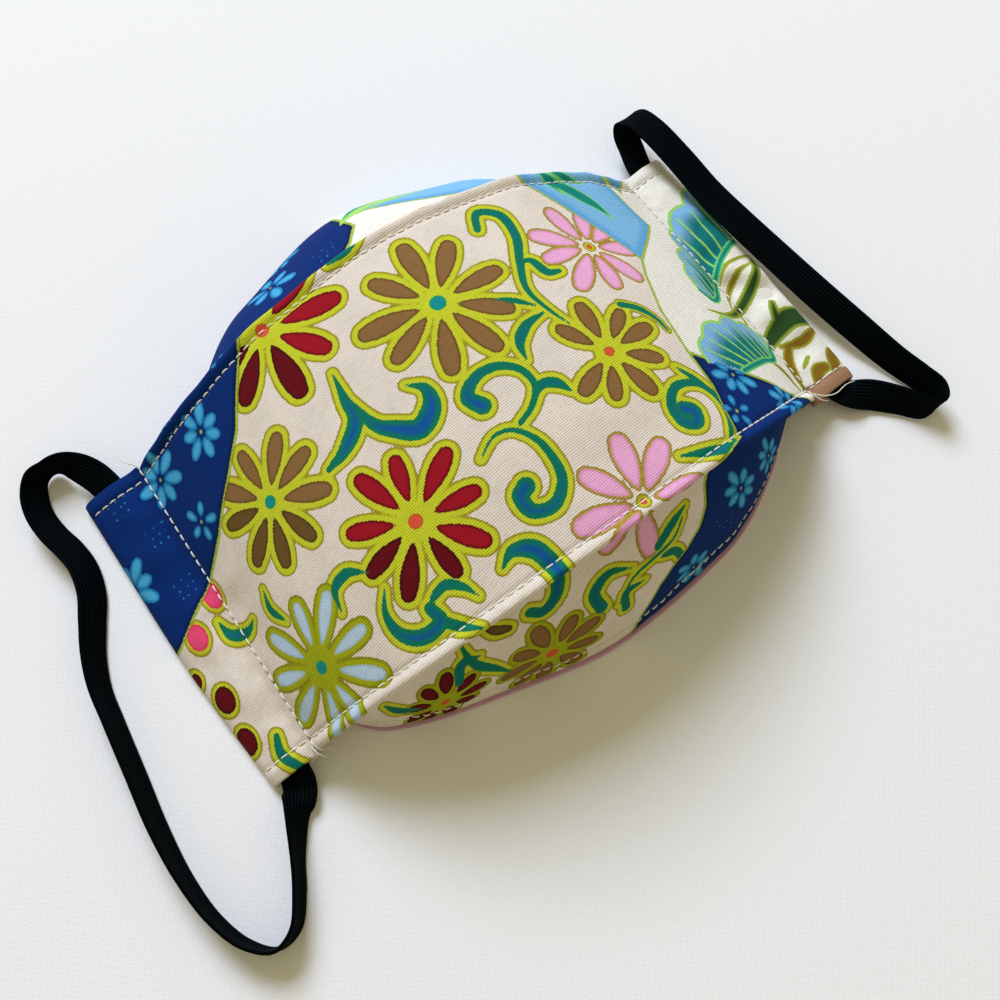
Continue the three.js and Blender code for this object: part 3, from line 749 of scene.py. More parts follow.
    Curl(((-5, -64.5), (-5.5, -59), (-1, -56), (5, -58.5)), 1.4, 0.45, (1.6, 0.2)),
    Curl(((0.5, -70), (1.5, -64.5), (7, -64.5)), 1.1, 0.45, (1.2, 0.2)),
    Curl(((-1, -67), (4, -61.5), (10, -60), (17, -58.5), (21, -54.5)), 0.5, 0.5, (0.15, 0.3)),
    Curl(((12.5, -57.5), (17.5, -54.5), (22.5, -52)), 1.3, 0.45, (1.2, 0.3)),
    Curl(((12, -61), (16.5, -62.5), (18, -66)), 1.2, 0.4, (0.2, 1.2)),
    Curl(((-36.8, -47), (-36, -55), (-32, -62), (-29, -68)), 1.3, 0.5, (0.3, 0.3)),
    Curl(((-41, -58), (-38.6, -53), (-34, -54)), 1.4, 0.5, (1.2, 0.3)),
    Curl(((-60, -50), (-57, -56), (-52, -60)), 1.3, 0.5, (0.3, 0.3)),
)
DOTS = ((-86, 3, 2.7, Ink.ROSE), (-95.2, -2.8, 2.7, Ink.ROSE), (-97.6, -18.8, 2.7, Ink.MAROON),
        (-98.6, -29.6, 2.7, Ink.MAROON), (-101.6, -10.5, 1.6, Ink.MAROON))


class Print:
    """The inks that lie on some points of the cloth, as a distance to each ink's edge in millimetres."""

    INKS = tuple(Ink)
    FAR = 9.0

    def __init__(self, spot: Array) -> None:
        """Works out every ink's distance.

        Args:
            spot: the points' places on the flat cloth, two numbers a row.
        """
        self.spot = spot
        self.fields = {ink: np.full(len(spot), self.FAR) for ink in self.INKS}
        for motif in MOTIFS:
            motif.lay(self)
        for a, b, radius, ink in DOTS:
            away = np.hypot(spot[:, 0] - a, (spot[:, 1] - b) * 0.8) - radius
            self.add(ink, away)
            self.add(Ink.LIME, away - 1.1)
        self.trim()

    def add(self, ink: Ink, away: Array) -> None:
        """Joins a shape to what an ink already covers."""
        self.fields[ink] = np.minimum(self.fields[ink], away)

    def cover(self, away: Array) -> None:
        """Takes a shape out of every ground laid so far."""
        for ink in (Ink.WHITE, Ink.NAVY, Ink.SKY, Ink.HEDGE):
            self.fields[ink] = np.maximum(self.fields[ink], -away)

    def trim(self) -> None:
        """Keeps flowers and curls off the coloured grounds, which lie over them like a patch."""
        ground = np.minimum.reduce([self.fields[ink] for ink in (Ink.WHITE, Ink.NAVY, Ink.SKY)])
        for ink in self.INKS[self.INKS.index(Ink.LIME):self.INKS.index(Ink.HEM)]:
            self.fields[ink] = np.maximum(self.fields[ink], -ground)

    def stroke(self, line: Array, half: Array) -> Array:
        """Distance to a pen stroke, worked out only in the box around it."""
        reach = float(half.max()) + 4
        low, high = line.min(axis=0) - reach, line.max(axis=0) + reach
        near = np.flatnonzero(((self.spot > low) & (self.spot < high)).all(axis=1))
        away = np.full(len(self.spot), self.FAR)
        away[near] = stroke(self.spot[near], line, half)
        return away

    def traits(self) -> dict[str, Array]:
        """The distances, three inks to a vector, for the mesh."""
        columns = np.stack([np.clip(self.fields[ink], -self.FAR, self.FAR) for ink in self.INKS], axis=1)
        return {f"ink_{k}": columns[:, 3 * k:3 * k + 3] for k in range(len(self.INKS) // 3)}


# ---- Finishes ----


@dataclass(frozen=True)
class Cotton:
    """Plain-woven cotton, printed or dyed.

    Attributes:
        name: of the material.
        ground: colour of the bare cloth.
        printed: if it carries the inks stored on the mesh.
        thread: from one thread to the next, in millimetres.
        roughness: of the cloth.
        sheen: weight of the fuzz that catches light at the edges.
    """

    name: str
    ground: Rgb
    printed: bool = False
    thread: float = 0.56
    roughness: float = 0.9
    sheen: float = 0.008

    def material(self) -> bpy.types.Material:
        """Inks whose edges bleed along the threads, over a woven ground with slubs and a soft unevenness,
        painted shade between the threads and a faint painted highlight on their tops.
        """
        tree = Tree(self.name)
        cloth, (a, b, _) = tree.trait("cloth")
        slub = tree.noise(tree.scaled(cloth, (0.35, 3.0, 1.0)), 1.0)
        cross_slub = tree.noise(tree.scaled(cloth, (3.0, 0.35, 1.0)), 1.0)
        blotch = tree.noise(cloth, 0.09)
        rate = 2 * math.pi / self.thread
        rows = ((b - a * 0.1 + slub * 0.32) * rate).sine()
        columns = ((a + b * 0.1 + cross_slub * 0.32) * (rate * 0.94)).sine()
        weave = rows * 0.34 + rows * columns * 0.16 + 0.5
        colour = tree.blend(blotch.step(0.35, 0.7), self.ground, tuple(level * 0.93 for level in self.ground))
        if self.printed:
            colour = self.inked(tree, colour, (slub + cross_slub - 1.0) * 0.34 + rows * 0.05)
        # Painted shade in the hollows between the threads, then a faint painted highlight on their tops.
        colour = tree.blend(weave.step(0.6, 0.0) * 0.4, colour, (0.012, 0.01, 0.01))
        colour = tree.blend(weave.step(0.55, 1.0) * 0.006, colour, (1.0, 0.98, 0.95))
        relief = weave * 0.75 + slub * 0.25
        return tree.finish(colour, self.roughness, tree.bump(relief, 0.00012, 0.55),
                           Sheen_Weight=self.sheen, Sheen_Roughness=0.5, Specular_IOR_Level=0.06)

    @staticmethod
    def inked(tree: Tree, colour: Feed, bleed: Signal) -> Feed:
        """Lays each ink over the colour where its distance, moved by the bleed, is below zero."""
        for group in range(len(Print.INKS) // 3):
            _, parts = tree.trait(f"ink_{group}")
            for ink, away in zip(Print.INKS[3 * group:3 * group + 3], parts):
                edge, inside, depth = ink.value
                moved = away + bleed
                tone = tree.blend(away.step(-0.25 * depth, -depth), edge, inside)
                colour = tree.blend(moved.step(0.09, -0.09), colour, tone)
        return colour


@dataclass(frozen=True)
class Elastic:
    """Braided elastic with ribs along it, dyed black.

    Attributes:
        name: of the material.
        rib_highlight: colour of the braid on top of a rib, a painted highlight over the black dye.
        gap: colour between the ribs, painted shade.
        ribs: ribs across the band.
        width: of the band in millimetres.
    """

    name: str = "black_braided_elastic"
    rib_highlight: Rgb = linear(18, 35, 39)
    gap: Rgb = linear(1, 3, 4)
    ribs: int = 9
    width: float = 8.0

    def material(self) -> bpy.types.Material:
        """Ribs along the band crossed by the slanting yarns of the braid, with painted highlight on the rib
        tops and painted shade between them.
        """
        tree = Tree(self.name)
        band, (along, across, _) = tree.trait("band")
        rib = (across * (2 * math.pi * self.ribs / self.width) + math.pi / 2).sine()
        yarns = ((along * 1.0 + across * 0.55) * (2 * math.pi / 0.72)).sine()
        fuzz = tree.noise(band, 2.2, 3.0)
        height = rib * 0.3 + yarns * 0.16 + fuzz * 0.2 + 0.5
        # Painted highlight on the rib tops where the yarns cross, painted shade in the gaps between the ribs.
        colour = tree.blend(rib.step(0.2, 1.0) * (yarns * 0.25 + fuzz * 0.6), self.gap, self.rib_highlight)
        return tree.finish(colour, fuzz * 0.2 + 0.5, tree.bump(height, 0.00014, 0.6),
                           Specular_IOR_Level=0.02)


@dataclass(frozen=True)
class Thread:
    """Twisted sewing thread."""

    name: str = "sewing_thread"
    colour: Rgb = linear(240, 236, 224)

    def material(self) -> bpy.types.Material:
        """Two plies that wind round each other, as slanting bands of the thread's colour with painted shade
        between them.
        """
        tree = Tree(self.name)
        _, (along, around, _) = tree.trait("ply")
        twist = (along * (2 * math.pi / 0.5) + around).sine()
        # Painted shade where the plies wind down, the thread's own colour on their crowns.
        colour = tree.blend(twist.step(-0.6, 0.8), tuple(level * 0.72 for level in self.colour), self.colour)
        return tree.finish(colour, 0.6, tree.bump(twist * 0.5 + 0.5, 0.00005, 0.5), Sheen_Weight=0.1)


@dataclass(frozen=True)
class PaleFloor:
    """Primed pale board with a faint canvas grain."""

    name: str = "pale_floor"
    colour: Rgb = linear(235, 236, 237)

    def material(self) -> bpy.types.Material:
        """Grain of two crossed waves with noise, too shallow to darken the colour."""
        tree = Tree(self.name)
        place = tree.node("ShaderNodeTexCoord").outputs["Object"]
        parts = tree.node("ShaderNodeSeparateXYZ", {}, {0: place})
        x, y = (Signal(tree, output) for output in parts.outputs[:2])
        wander = tree.noise(place, 420.0, 3.0)
        grain = (x * 3600.0 + wander * 9.0).sine() * (y * 3300.0 + wander * 9.0).sine() * 0.25 + wander * 0.5
        colour = tree.blend(wander, self.colour, tuple(level * 0.985 for level in self.colour))
        return tree.finish(colour, 0.9, tree.bump(grain, 0.0002, 0.3), Specular_IOR_Level=0.1)


# ---- The shape of the mask ----


class Side(Enum):
    """The two long edges."""

    NOSE = 1
    CHIN = -1


class End(Enum):
    """The two ends, each with its casing and ear loop."""

    LEFT = -1
    RIGHT = 1


SECTION_COLUMNS = ("x", "nose_y", "nose_z", "chin_y", "chin_z", "nose_rim_y", "chin_rim_y", "rim_z", "crown",
                   "nose_belly", "chin_belly")
SECTIONS = np.array([
    (-74, 41.6, 8.6, 41.2, 8.6, 17, 26, 2.6, 1.0, 0, 0),
    (-58, 41.8, 23.0, 43.4, 24.0, 43.5, 45, 0, 2.2, 1.5, 1.2),
    (-32, 44.1, 34.7, 45.4, 36.4, 67, 53.5, 0, 3.4, 4.5, 3),
    (0, 45.5, 39.9, 45.9, 41.4, 76.5, 59.5, 0, 4.0, 5.5, 3.6),
    (32, 44.4, 34.8, 44.4, 36.9, 69, 56.5, 0, 3.4, 4.5, 3),
    (58, 40.6, 22.0, 42.3, 24.8, 44.5, 45, 0, 2.2, 1.5, 1.2),
    (74, 38.0, 7.4, 39.4, 8.8, 17, 26, 2.6, 1.0, 0, 0),
])
# Centre along X and Y, depth (below zero swells) and reach along X and Y of the panel's soft dents.
DENTS = ((-60, 12, 1.0, 9, 16), (-50, -20, -0.8, 12, 12), (55, -6, 1.2, 10, 14), (44, 24, 0.8, 10, 10),
         (18, -30, 0.6, 24, 7))


@dataclass(frozen=True)
class MaskForm:
    """Sizes and surfaces that every cloth piece shares, in millimetres.

    Attributes:
        cloth: thickness of the outer cotton.
        lining: thickness of the inner cotton.
        gap: clearance between two pieces.
        seam: from the outer face of the cloth to the lining behind it.
        fold_width: from a ridge's fold to its stitching.
        fold_thickness: of the doubled cloth in that fold.
        panel_end: half length of the panel.
        hem_lift: of the chin hem above the nose rim.
        stretch: cloth along a casing for each millimetre of X.
    """

    cloth: float = 1.1
    lining: float = 0.9
    gap: float = 0.3
    seam: float = 1.85
    fold_width: float = 3.0
    fold_thickness: float = 2.0
    panel_end: float = 74.0
    hem_lift: float = 1.4
    stretch: float = 1.09

    def shift(self) -> Array:
        """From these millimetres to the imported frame's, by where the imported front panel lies."""
        low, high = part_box("front_panel")
        nose = SECTIONS[:, SECTION_COLUMNS.index("nose_y")].max()
        return np.array([(low.x + high.x) / 2 / MM, high.y / MM - nose, 0.0])

    def section(self, column: str, x: Array) -> Array:
        """A column of the section table at some stations."""
        return monotone(SECTIONS[:, 0], SECTIONS[:, SECTION_COLUMNS.index(column)], x)

    def height(self, x: Array, y: Array) -> Array:
        """Height of the panel: a straight line between its ridges, the crown over it and the dents in it."""
        nose, chin = self.section("nose_y", x), self.section("chin_y", x)
        share = (y + chin) / (nose + chin)
        bow = 1 - (2 * share - 1) ** 2
        dents = sum(depth * bell(x - at_x, reach_x) * bell(y - at_y, reach_y)
                    for at_x, at_y, depth, reach_x, reach_y in DENTS)
        straight = self.section("chin_z", x) * (1 - share) + self.section("nose_z", x) * share
        return straight + self.section("crown", x) * bow - dents

    def normal(self, x: Array, y: Array) -> Array:
        """Unit normal of the panel, from its slopes along X and Y."""
        step = 0.5
        slope_x = (self.height(x + step, y) - self.height(x - step, y)) / (2 * step)
        slope_y = (self.height(x, y + step) - self.height(x, y - step)) / (2 * step)
        return unit(np.stack([-slope_x, -slope_y, np.ones_like(slope_x)], axis=-1))

    def flat(self, x: Array) -> Array:
        """Distance along the cloth from the middle to a station, measured over the crown of the panel."""
        grid = np.linspace(-self.panel_end, self.panel_end, 1481)
        line = np.stack([grid, self.height(grid, 0 * grid)], axis=1)
        along = lengths(line)
        along = along - np.interp(0, grid, along)
        inside = np.clip(x, -self.panel_end, self.panel_end)
        return np.interp(inside, grid, along) + (x - inside) * self.stretch

    def stations(self, end: float, spacing: float) -> Array:
        """Stations from end to end, evenly spaced along the cloth."""
        grid = np.linspace(-end, end, 2000)
        flat = self.flat(grid)
        return np.interp(np.linspace(flat[0], flat[-1], round((flat[-1] - flat[0]) / spacing)), flat, grid)


@dataclass(frozen=True)
class Chord:
    """Where a flap runs at some stations: its top, its way down and out, its length and how far it bows."""

    top: Array
    along: Array
    out: Array
    length: Array
    belly: Array

    @staticmethod
    def of(form: MaskForm, side: Side, x: Array) -> "Chord":
        """Chord of a flap from under the ridge's fold to the rim, lower by its cloth where it turns under."""
        word = side.name.lower()
        ridge, rim = form.section(f"{word}_y", x), form.section(f"{word}_rim_y", x)
        rim_z = form.section("rim_z", x) + (form.hem_lift if side is Side.CHIN else 0)
        top_y = ridge - form.fold_width + form.gap
        under = form.height(x, side.value * top_y) - form.fold_thickness - form.gap
        reach, fall = rim - top_y, under - rim_z
        turned = np.maximum(0, -reach / np.hypot(reach, fall))
        top = np.stack([x, side.value * top_y, under - form.cloth * turned], axis=-1)
        foot = np.stack([x, side.value * rim, rim_z], axis=-1)
        along = unit(foot - top)
        out = np.stack([0 * x, -side.value * along[..., 2], side.value * along[..., 1]], axis=-1)
        return Chord(top, along, out, np.linalg.norm(foot - top, axis=-1), form.section(f"{word}_belly", x))

    def at(self, share: Array, depth: Array) -> Array:
        """Point a share of the way down the flap, set in from its outer face by a depth."""
        bow = self.belly * np.sin(np.pi * share) - depth
        return self.top + self.along * (self.length * share)[..., None] + self.out * bow[..., None]


def on_table(points: Array, clearance: float = 0.03) -> Array:
    """Points lifted to lie on the surface that the mask rests on."""
    points[..., 2] = np.maximum(points[..., 2], clearance)
    return points


def half_turn(count: int) -> tuple[Array, Array]:
    """Cosine and sine of even steps from 0 to 180 degrees, both ends left out."""
    turn = np.linspace(0, np.pi, count + 2)[1:-1]
    return np.cos(turn), np.sin(turn)


@dataclass
class FrontPanel:
    """The printed face between the two ridge folds.

    Attributes:
        form: the shared shape.
        spacing: of the mesh along and across the cloth.
        lip: radius of a ridge's fold.
        reach: half length, up to the casings.
        flat_depth: of the cut cloth; not used.
    """

    form: MaskForm
    spacing: float = 0.55
    lip: float = 1.0
    reach: float = 74.13
    flat_depth: float = 98.0

    def relief(self, x: Array, y: Array) -> Array:
        """How far the sewn cloth stands off the plain surface.

        Grooves at the stitching, folds that stand up to a soft roll, puckers that fade from the seams, and
        shallow creases that fade from the ends.
        """
        form = self.form
        along = form.flat(x)
        edge = np.minimum(form.section("nose_y", x) - y, form.section("chin_y", x) + y)
        seam = edge - form.fold_width
        end = form.panel_end - np.abs(x)
        beat = 1 + 0.2 * np.cos(2 * np.pi * along / 2.5)
        groove = -0.4 * bell(seam, 0.6) * beat - 0.16 * bell(end, 0.9)
        rise = 1.15 * np.clip(1 - edge / form.fold_width, 0, 1)
        roll = rise + 0.2 * np.sin(np.pi * np.clip(edge / form.fold_width, 0, 1))
        ripple = np.sin(along / 1.9 + 1.7 * np.sin(along / 11)) + 0.6 * np.sin(along / 3.7 + y / 9)
        pucker = 0.11 * ripple * bell(np.maximum(seam, 0), 5)
        across = np.sin(y / 2.3 + 1.3 * np.sin(y / 7)) + 0.8 * np.sin(y / 4.9 + x / 14)
        crease = 0.2 * across * bell(end, 7) + 0.3 * np.sin(y / 6.5 + 0.8 * np.sign(x)) * bell(end, 15)
        swell = 0.22 * np.sin(x / 9.5 + y / 16) * np.sin(y / 12.5 - x / 31)
        return groove + (roll + pucker + crease + swell) * np.clip(end / 2.5, 0, 1)

    def surface(self, x: Array, y: Array) -> Array:
        """Point of the sewn face over a place on the plan."""
        plain = np.stack([x, y, self.form.height(x, y)], axis=-1)
        return plain + self.form.normal(x, y) * self.relief(x, y)[..., None]

    def skin(self) -> Skin:
        """The panel as rings across it: over the face, round each lip and back along the underside."""
        form = self.form
        x = form.stations(self.reach, self.spacing)[:, None]
        nose, chin = form.section("nose_y", x), form.section("chin_y", x)
        share = np.linspace(0, 1, round(88 / self.spacing))[None]
        y = -chin + self.lip + (nose + chin - 2 * self.lip) * share
        face = self.surface(x + 0 * y, y)
        cos, sin = half_turn(7)
        # Each lip is half a circle from the face down to the doubled cloth under it.
        lips = []
        for way, first in ((1, face[:, -1:]), (-1, face[:, :1])):
            centre = first - [0, 0, self.lip]
            ring = np.stack([0 * sin, way * sin * self.lip, cos * self.lip], axis=-1)[None]
            lips.append(centre + ring)
        inset = form.fold_width
        under_share = np.linspace(0, 1, 9)[None]
        under_y = nose - inset - 0.2 - (nose + chin - 2 * inset - 0.4) * under_share
        lean = form.normal(x + 0 * under_y, under_y)[..., 2]
        under = np.stack([x + 0 * under_y, under_y, form.height(x, under_y) - form.cloth / lean], axis=-1)
        steps = []
        for edge, way in ((nose, 1), (-chin, -1)):
            y_step = edge - way * np.array([[self.lip, inset - 0.3]])
            z_step = form.height(x, y_step) - form.fold_thickness
            steps.append(np.stack([x + 0 * y_step, y_step, z_step], axis=-1))
        ring = np.concatenate([face, lips[0], steps[0], under, steps[1][:, ::-1], lips[1][:, ::-1]], axis=1)
        flat = np.stack([form.flat(x) + 0 * ring[..., 1], ring[..., 1], 0 * ring[..., 1]], axis=-1)
        # Cloth wrapped round a lip is measured along its curve.
        spill = np.linspace(0, self.lip * np.pi, 9)[1:-1]
        start = share.shape[1]
        flat[:, start:start + 7, 1] = (nose - self.lip) + spill
        flat[:, -7:, 1] = (-chin + self.lip) - spill[::-1]
        return Skin.grid(ring, traits_of(flat))

    def seams(self) -> list["Seam"]:
        """Stitching along both ridges and across both ends."""
        form = self.form
        x = np.linspace(-self.form.panel_end + 0.6, self.form.panel_end - 0.6, 700)
        made = []
        for side in Side:
            y = side.value * (form.section(f"{side.name.lower()}_y", x) - form.fold_width)
            made.append(Seam(self.surface(x, y), form.normal(x, y)))
        for end in End:
            station = np.full(400, end.value * (form.panel_end - 0.1))
            chin, nose = form.section("chin_y", station[:1])[0], form.section("nose_y", station[:1])[0]
            y = np.linspace(-chin + 0.6, nose - 0.6, 400)
            made.append(Seam(self.surface(station, y), form.normal(station, y)))
        return made

    def build(self, shift: Array, material: bpy.types.Material) -> bpy.types.Object:
        """Makes the piece."""
        piece = self.skin().write("front_panel_cloth", shift)
        dress(piece, material, "front_panel")
        length = 2 * float(self.form.flat(np.array([self.reach]))[0])
        return piece


def traits_of(flat: Array) -> dict[str, Array]:
    """Traits of printed cloth: its flat place and every ink's distance there.

    Args:
        flat: place on the flat cloth, with a zero third number, in any layout.

    Returns:
        The named vectors, in the same layout.
    """
    inks = Print(flat.reshape(-1, 3)[:, :2]).traits()
    return {"cloth": flat, **{name: values.reshape(flat.shape) for name, values in inks.items()}}


@dataclass
class Flap:
    """Printed cloth from under a ridge's fold down to its hemmed rim.

    Attributes:
        form: the shared shape.
        side: which of the two flaps.
        spacing: of the mesh.
        hem: from the rim to its stitching.
        flat_depth: of the cut cloth; not used.
        cut_share: of the cut rectangle that its curved cut leaves; not used.
    """

    form: MaskForm
    side: Side
    spacing: float = 0.62
    hem: float = 5.0
    flat_depth: float = 64.0
    cut_share: float = 0.62

    def relief(self, x: Array, share: Array, length: Array) -> Array:
        """How far the sewn flap stands off its plain surface: the hem's groove and roll, and slack folds."""
        along = self.form.flat(x)
        left = (1 - share) * length
        groove = -0.36 * bell(left - self.hem, 0.6) * (1 + 0.2 * np.cos(2 * np.pi * along / 2.5))
        roll = 0.25 * np.sin(np.pi * np.clip(left / self.hem, 0, 1))
        ripple = np.sin(along / 1.7 + np.sin(along / 8)) + 0.7 * np.sin(along / 4.1)
        pucker = 0.12 * ripple * bell(left - self.hem, 4)
        slack = 0.45 * np.sin(along / 7.5 + 1.9 * share) * np.sin(np.pi * share) * np.clip(length / 30, 0, 1)
        return groove + roll + pucker + slack

    def surface(self, x: Array, share: Array) -> Array:
        """Point of the sewn flap at a share of the way down."""
        chord = Chord.of(self.form, self.side, x)
        return on_table(chord.at(share, -self.relief(x, share, chord.length)))

    def skin(self) -> Skin:
        """The flap as rings along it: down the outer face, round the hem and up the inner face."""
        form, cloth = self.form, self.form.cloth
        x = form.stations(form.panel_end - 0.02, self.spacing)[:, None]
        chord = Chord.of(form, self.side, x)
        count = round(float(chord.length.max()) / self.spacing)
        radius = cloth / 2
        last = 1 - radius / chord.length
        share = last * np.linspace(0, 1, count)[None]
        outer = self.surface(x + 0 * share, share)
        centre = chord.at(last, radius)
        cos, sin = half_turn(6)
        hem = centre + chord.out * (cos * radius)[None, :, None] + chord.along * (sin * radius)[None, :, None]
        inner = chord.at(last * np.linspace(1, 0, 9)[None], cloth)
        ring = on_table(np.concatenate([outer, on_table(hem), inner], axis=1))
        ridge = form.section(f"{self.side.name.lower()}_y", x)
        down = np.concatenate([share * chord.length, 0 * sin[None] + chord.length,
                               last * chord.length * np.linspace(1, 0, 9)[None]], axis=1)
        flat = np.stack([form.flat(x) + 0 * down, self.side.value * (ridge + down), 0 * down], axis=-1)
        return Skin.grid(ring, traits_of(flat))

    def seams(self) -> list["Seam"]:
        """Stitching along the hem."""
        x = np.linspace(-self.form.panel_end + 5, self.form.panel_end - 5, 900)
        chord = Chord.of(self.form, self.side, x)
        return [Seam(self.surface(x, 1 - self.hem / chord.length), chord.out)]

    def build(self, shift: Array, material: bpy.types.Material) -> bpy.types.Object:
        """Makes the piece."""
        word = self.side.name.lower()
        piece = self.skin().write(f"{word}_flap_cloth", shift)
        dress(piece, material, f"{word}_flap")
        length = 2 * float(self.form.flat(np.array([self.form.panel_end]))[0])
        return piece


@dataclass
class Lining:
    """The inner skin: its rolled edge under the chin hem, over under the panel, and down to the nose rim.

    Attributes:
        form: the shared shape.
        reach: half length.
        margin: from a ridge to where it lies flat under the panel.
        spacing: of the mesh along the mask.
        roll: how far the rolled edge stands out, its gap under the hem, and its height.
        flat_depth: of the cut cloth; not used.
        cut_share: of the cut rectangle that its curved cut leaves; not used.
    """

    form: MaskForm
    reach: float = 70.0
    margin: float = 10.0
    spacing: float = 1.3
    roll: tuple[float, float, float] = (0.7, 0.55, 0.8)
    flat_depth: float = 196.0
    cut_share: float = 0.77

    def skin(self) -> Skin:
        """The lining as rings along it: one face out and the other back, a cloth's thickness apart."""
        form = self.form
        x = form.stations(self.reach, self.spacing)[:, None]
        deep = form.seam + form.lining
        chin, nose = (Chord.of(form, side, x) for side in (Side.CHIN, Side.NOSE))
        proud, gap, height = self.roll

        def edge(down: float, depth: float) -> Array:
            """Point of the rolled edge below the chin hem."""
            return chin.at(np.ones_like(x), np.full_like(x, depth)) + chin.along * down

        shares = np.linspace(0.15, 0.955, 26)
        plan = np.linspace(0, 1, 30)[None]
        chin_end = -form.section("chin_y", x) + self.margin
        nose_end = form.section("nose_y", x) - self.margin
        y = chin_end * (1 - plan) + nose_end * plan
        lean = form.normal(x + 0 * y, y)[..., 2]
        sides = []
        for depth in (form.seam, deep):
            flat = np.stack([x + 0 * y, y, form.height(x, y) - depth / lean], axis=-1)
            slack = 0.5 * np.sin(form.flat(x) / 5.2 + 3 * shares) * np.sin(np.pi * shares) * (depth / deep)
            sides.append(np.concatenate([
                chin.at(shares[::-1][None] + 0 * x, depth - 0 * x + np.maximum(slack[:, ::-1], 0)), flat,
                nose.at(shares[None] + 0 * x, depth - 0 * x + np.maximum(slack, 0))], axis=1))
        over, under = sides
        low = gap + height
        rolled = np.concatenate([edge(low, deep), edge(low, form.seam), edge(low, -proud + 0.2),
                                 edge(low - 0.3, -proud), edge(gap + 0.2, -proud), edge(gap, -proud + 0.3),
                                 edge(gap, form.seam)], axis=1)
        ring = on_table(np.concatenate([rolled, over, under[:, ::-1]], axis=1), 0.02)
        down = np.zeros(ring.shape[:2])
        down[:, 1:] = np.cumsum(np.linalg.norm(np.diff(ring, axis=1), axis=-1), axis=1)
        flat = np.stack([form.flat(x) + 0 * down, down, 0 * down], axis=-1)
        return Skin.grid(ring, {"cloth": flat})

    def build(self, shift: Array, material: bpy.types.Material) -> bpy.types.Object:
        """Makes the piece."""
        piece = self.skin().write("lining_cloth", shift)
        dress(piece, material, "lining")
        length = 2 * float(self.form.flat(np.array([self.reach]))[0])
        return piece


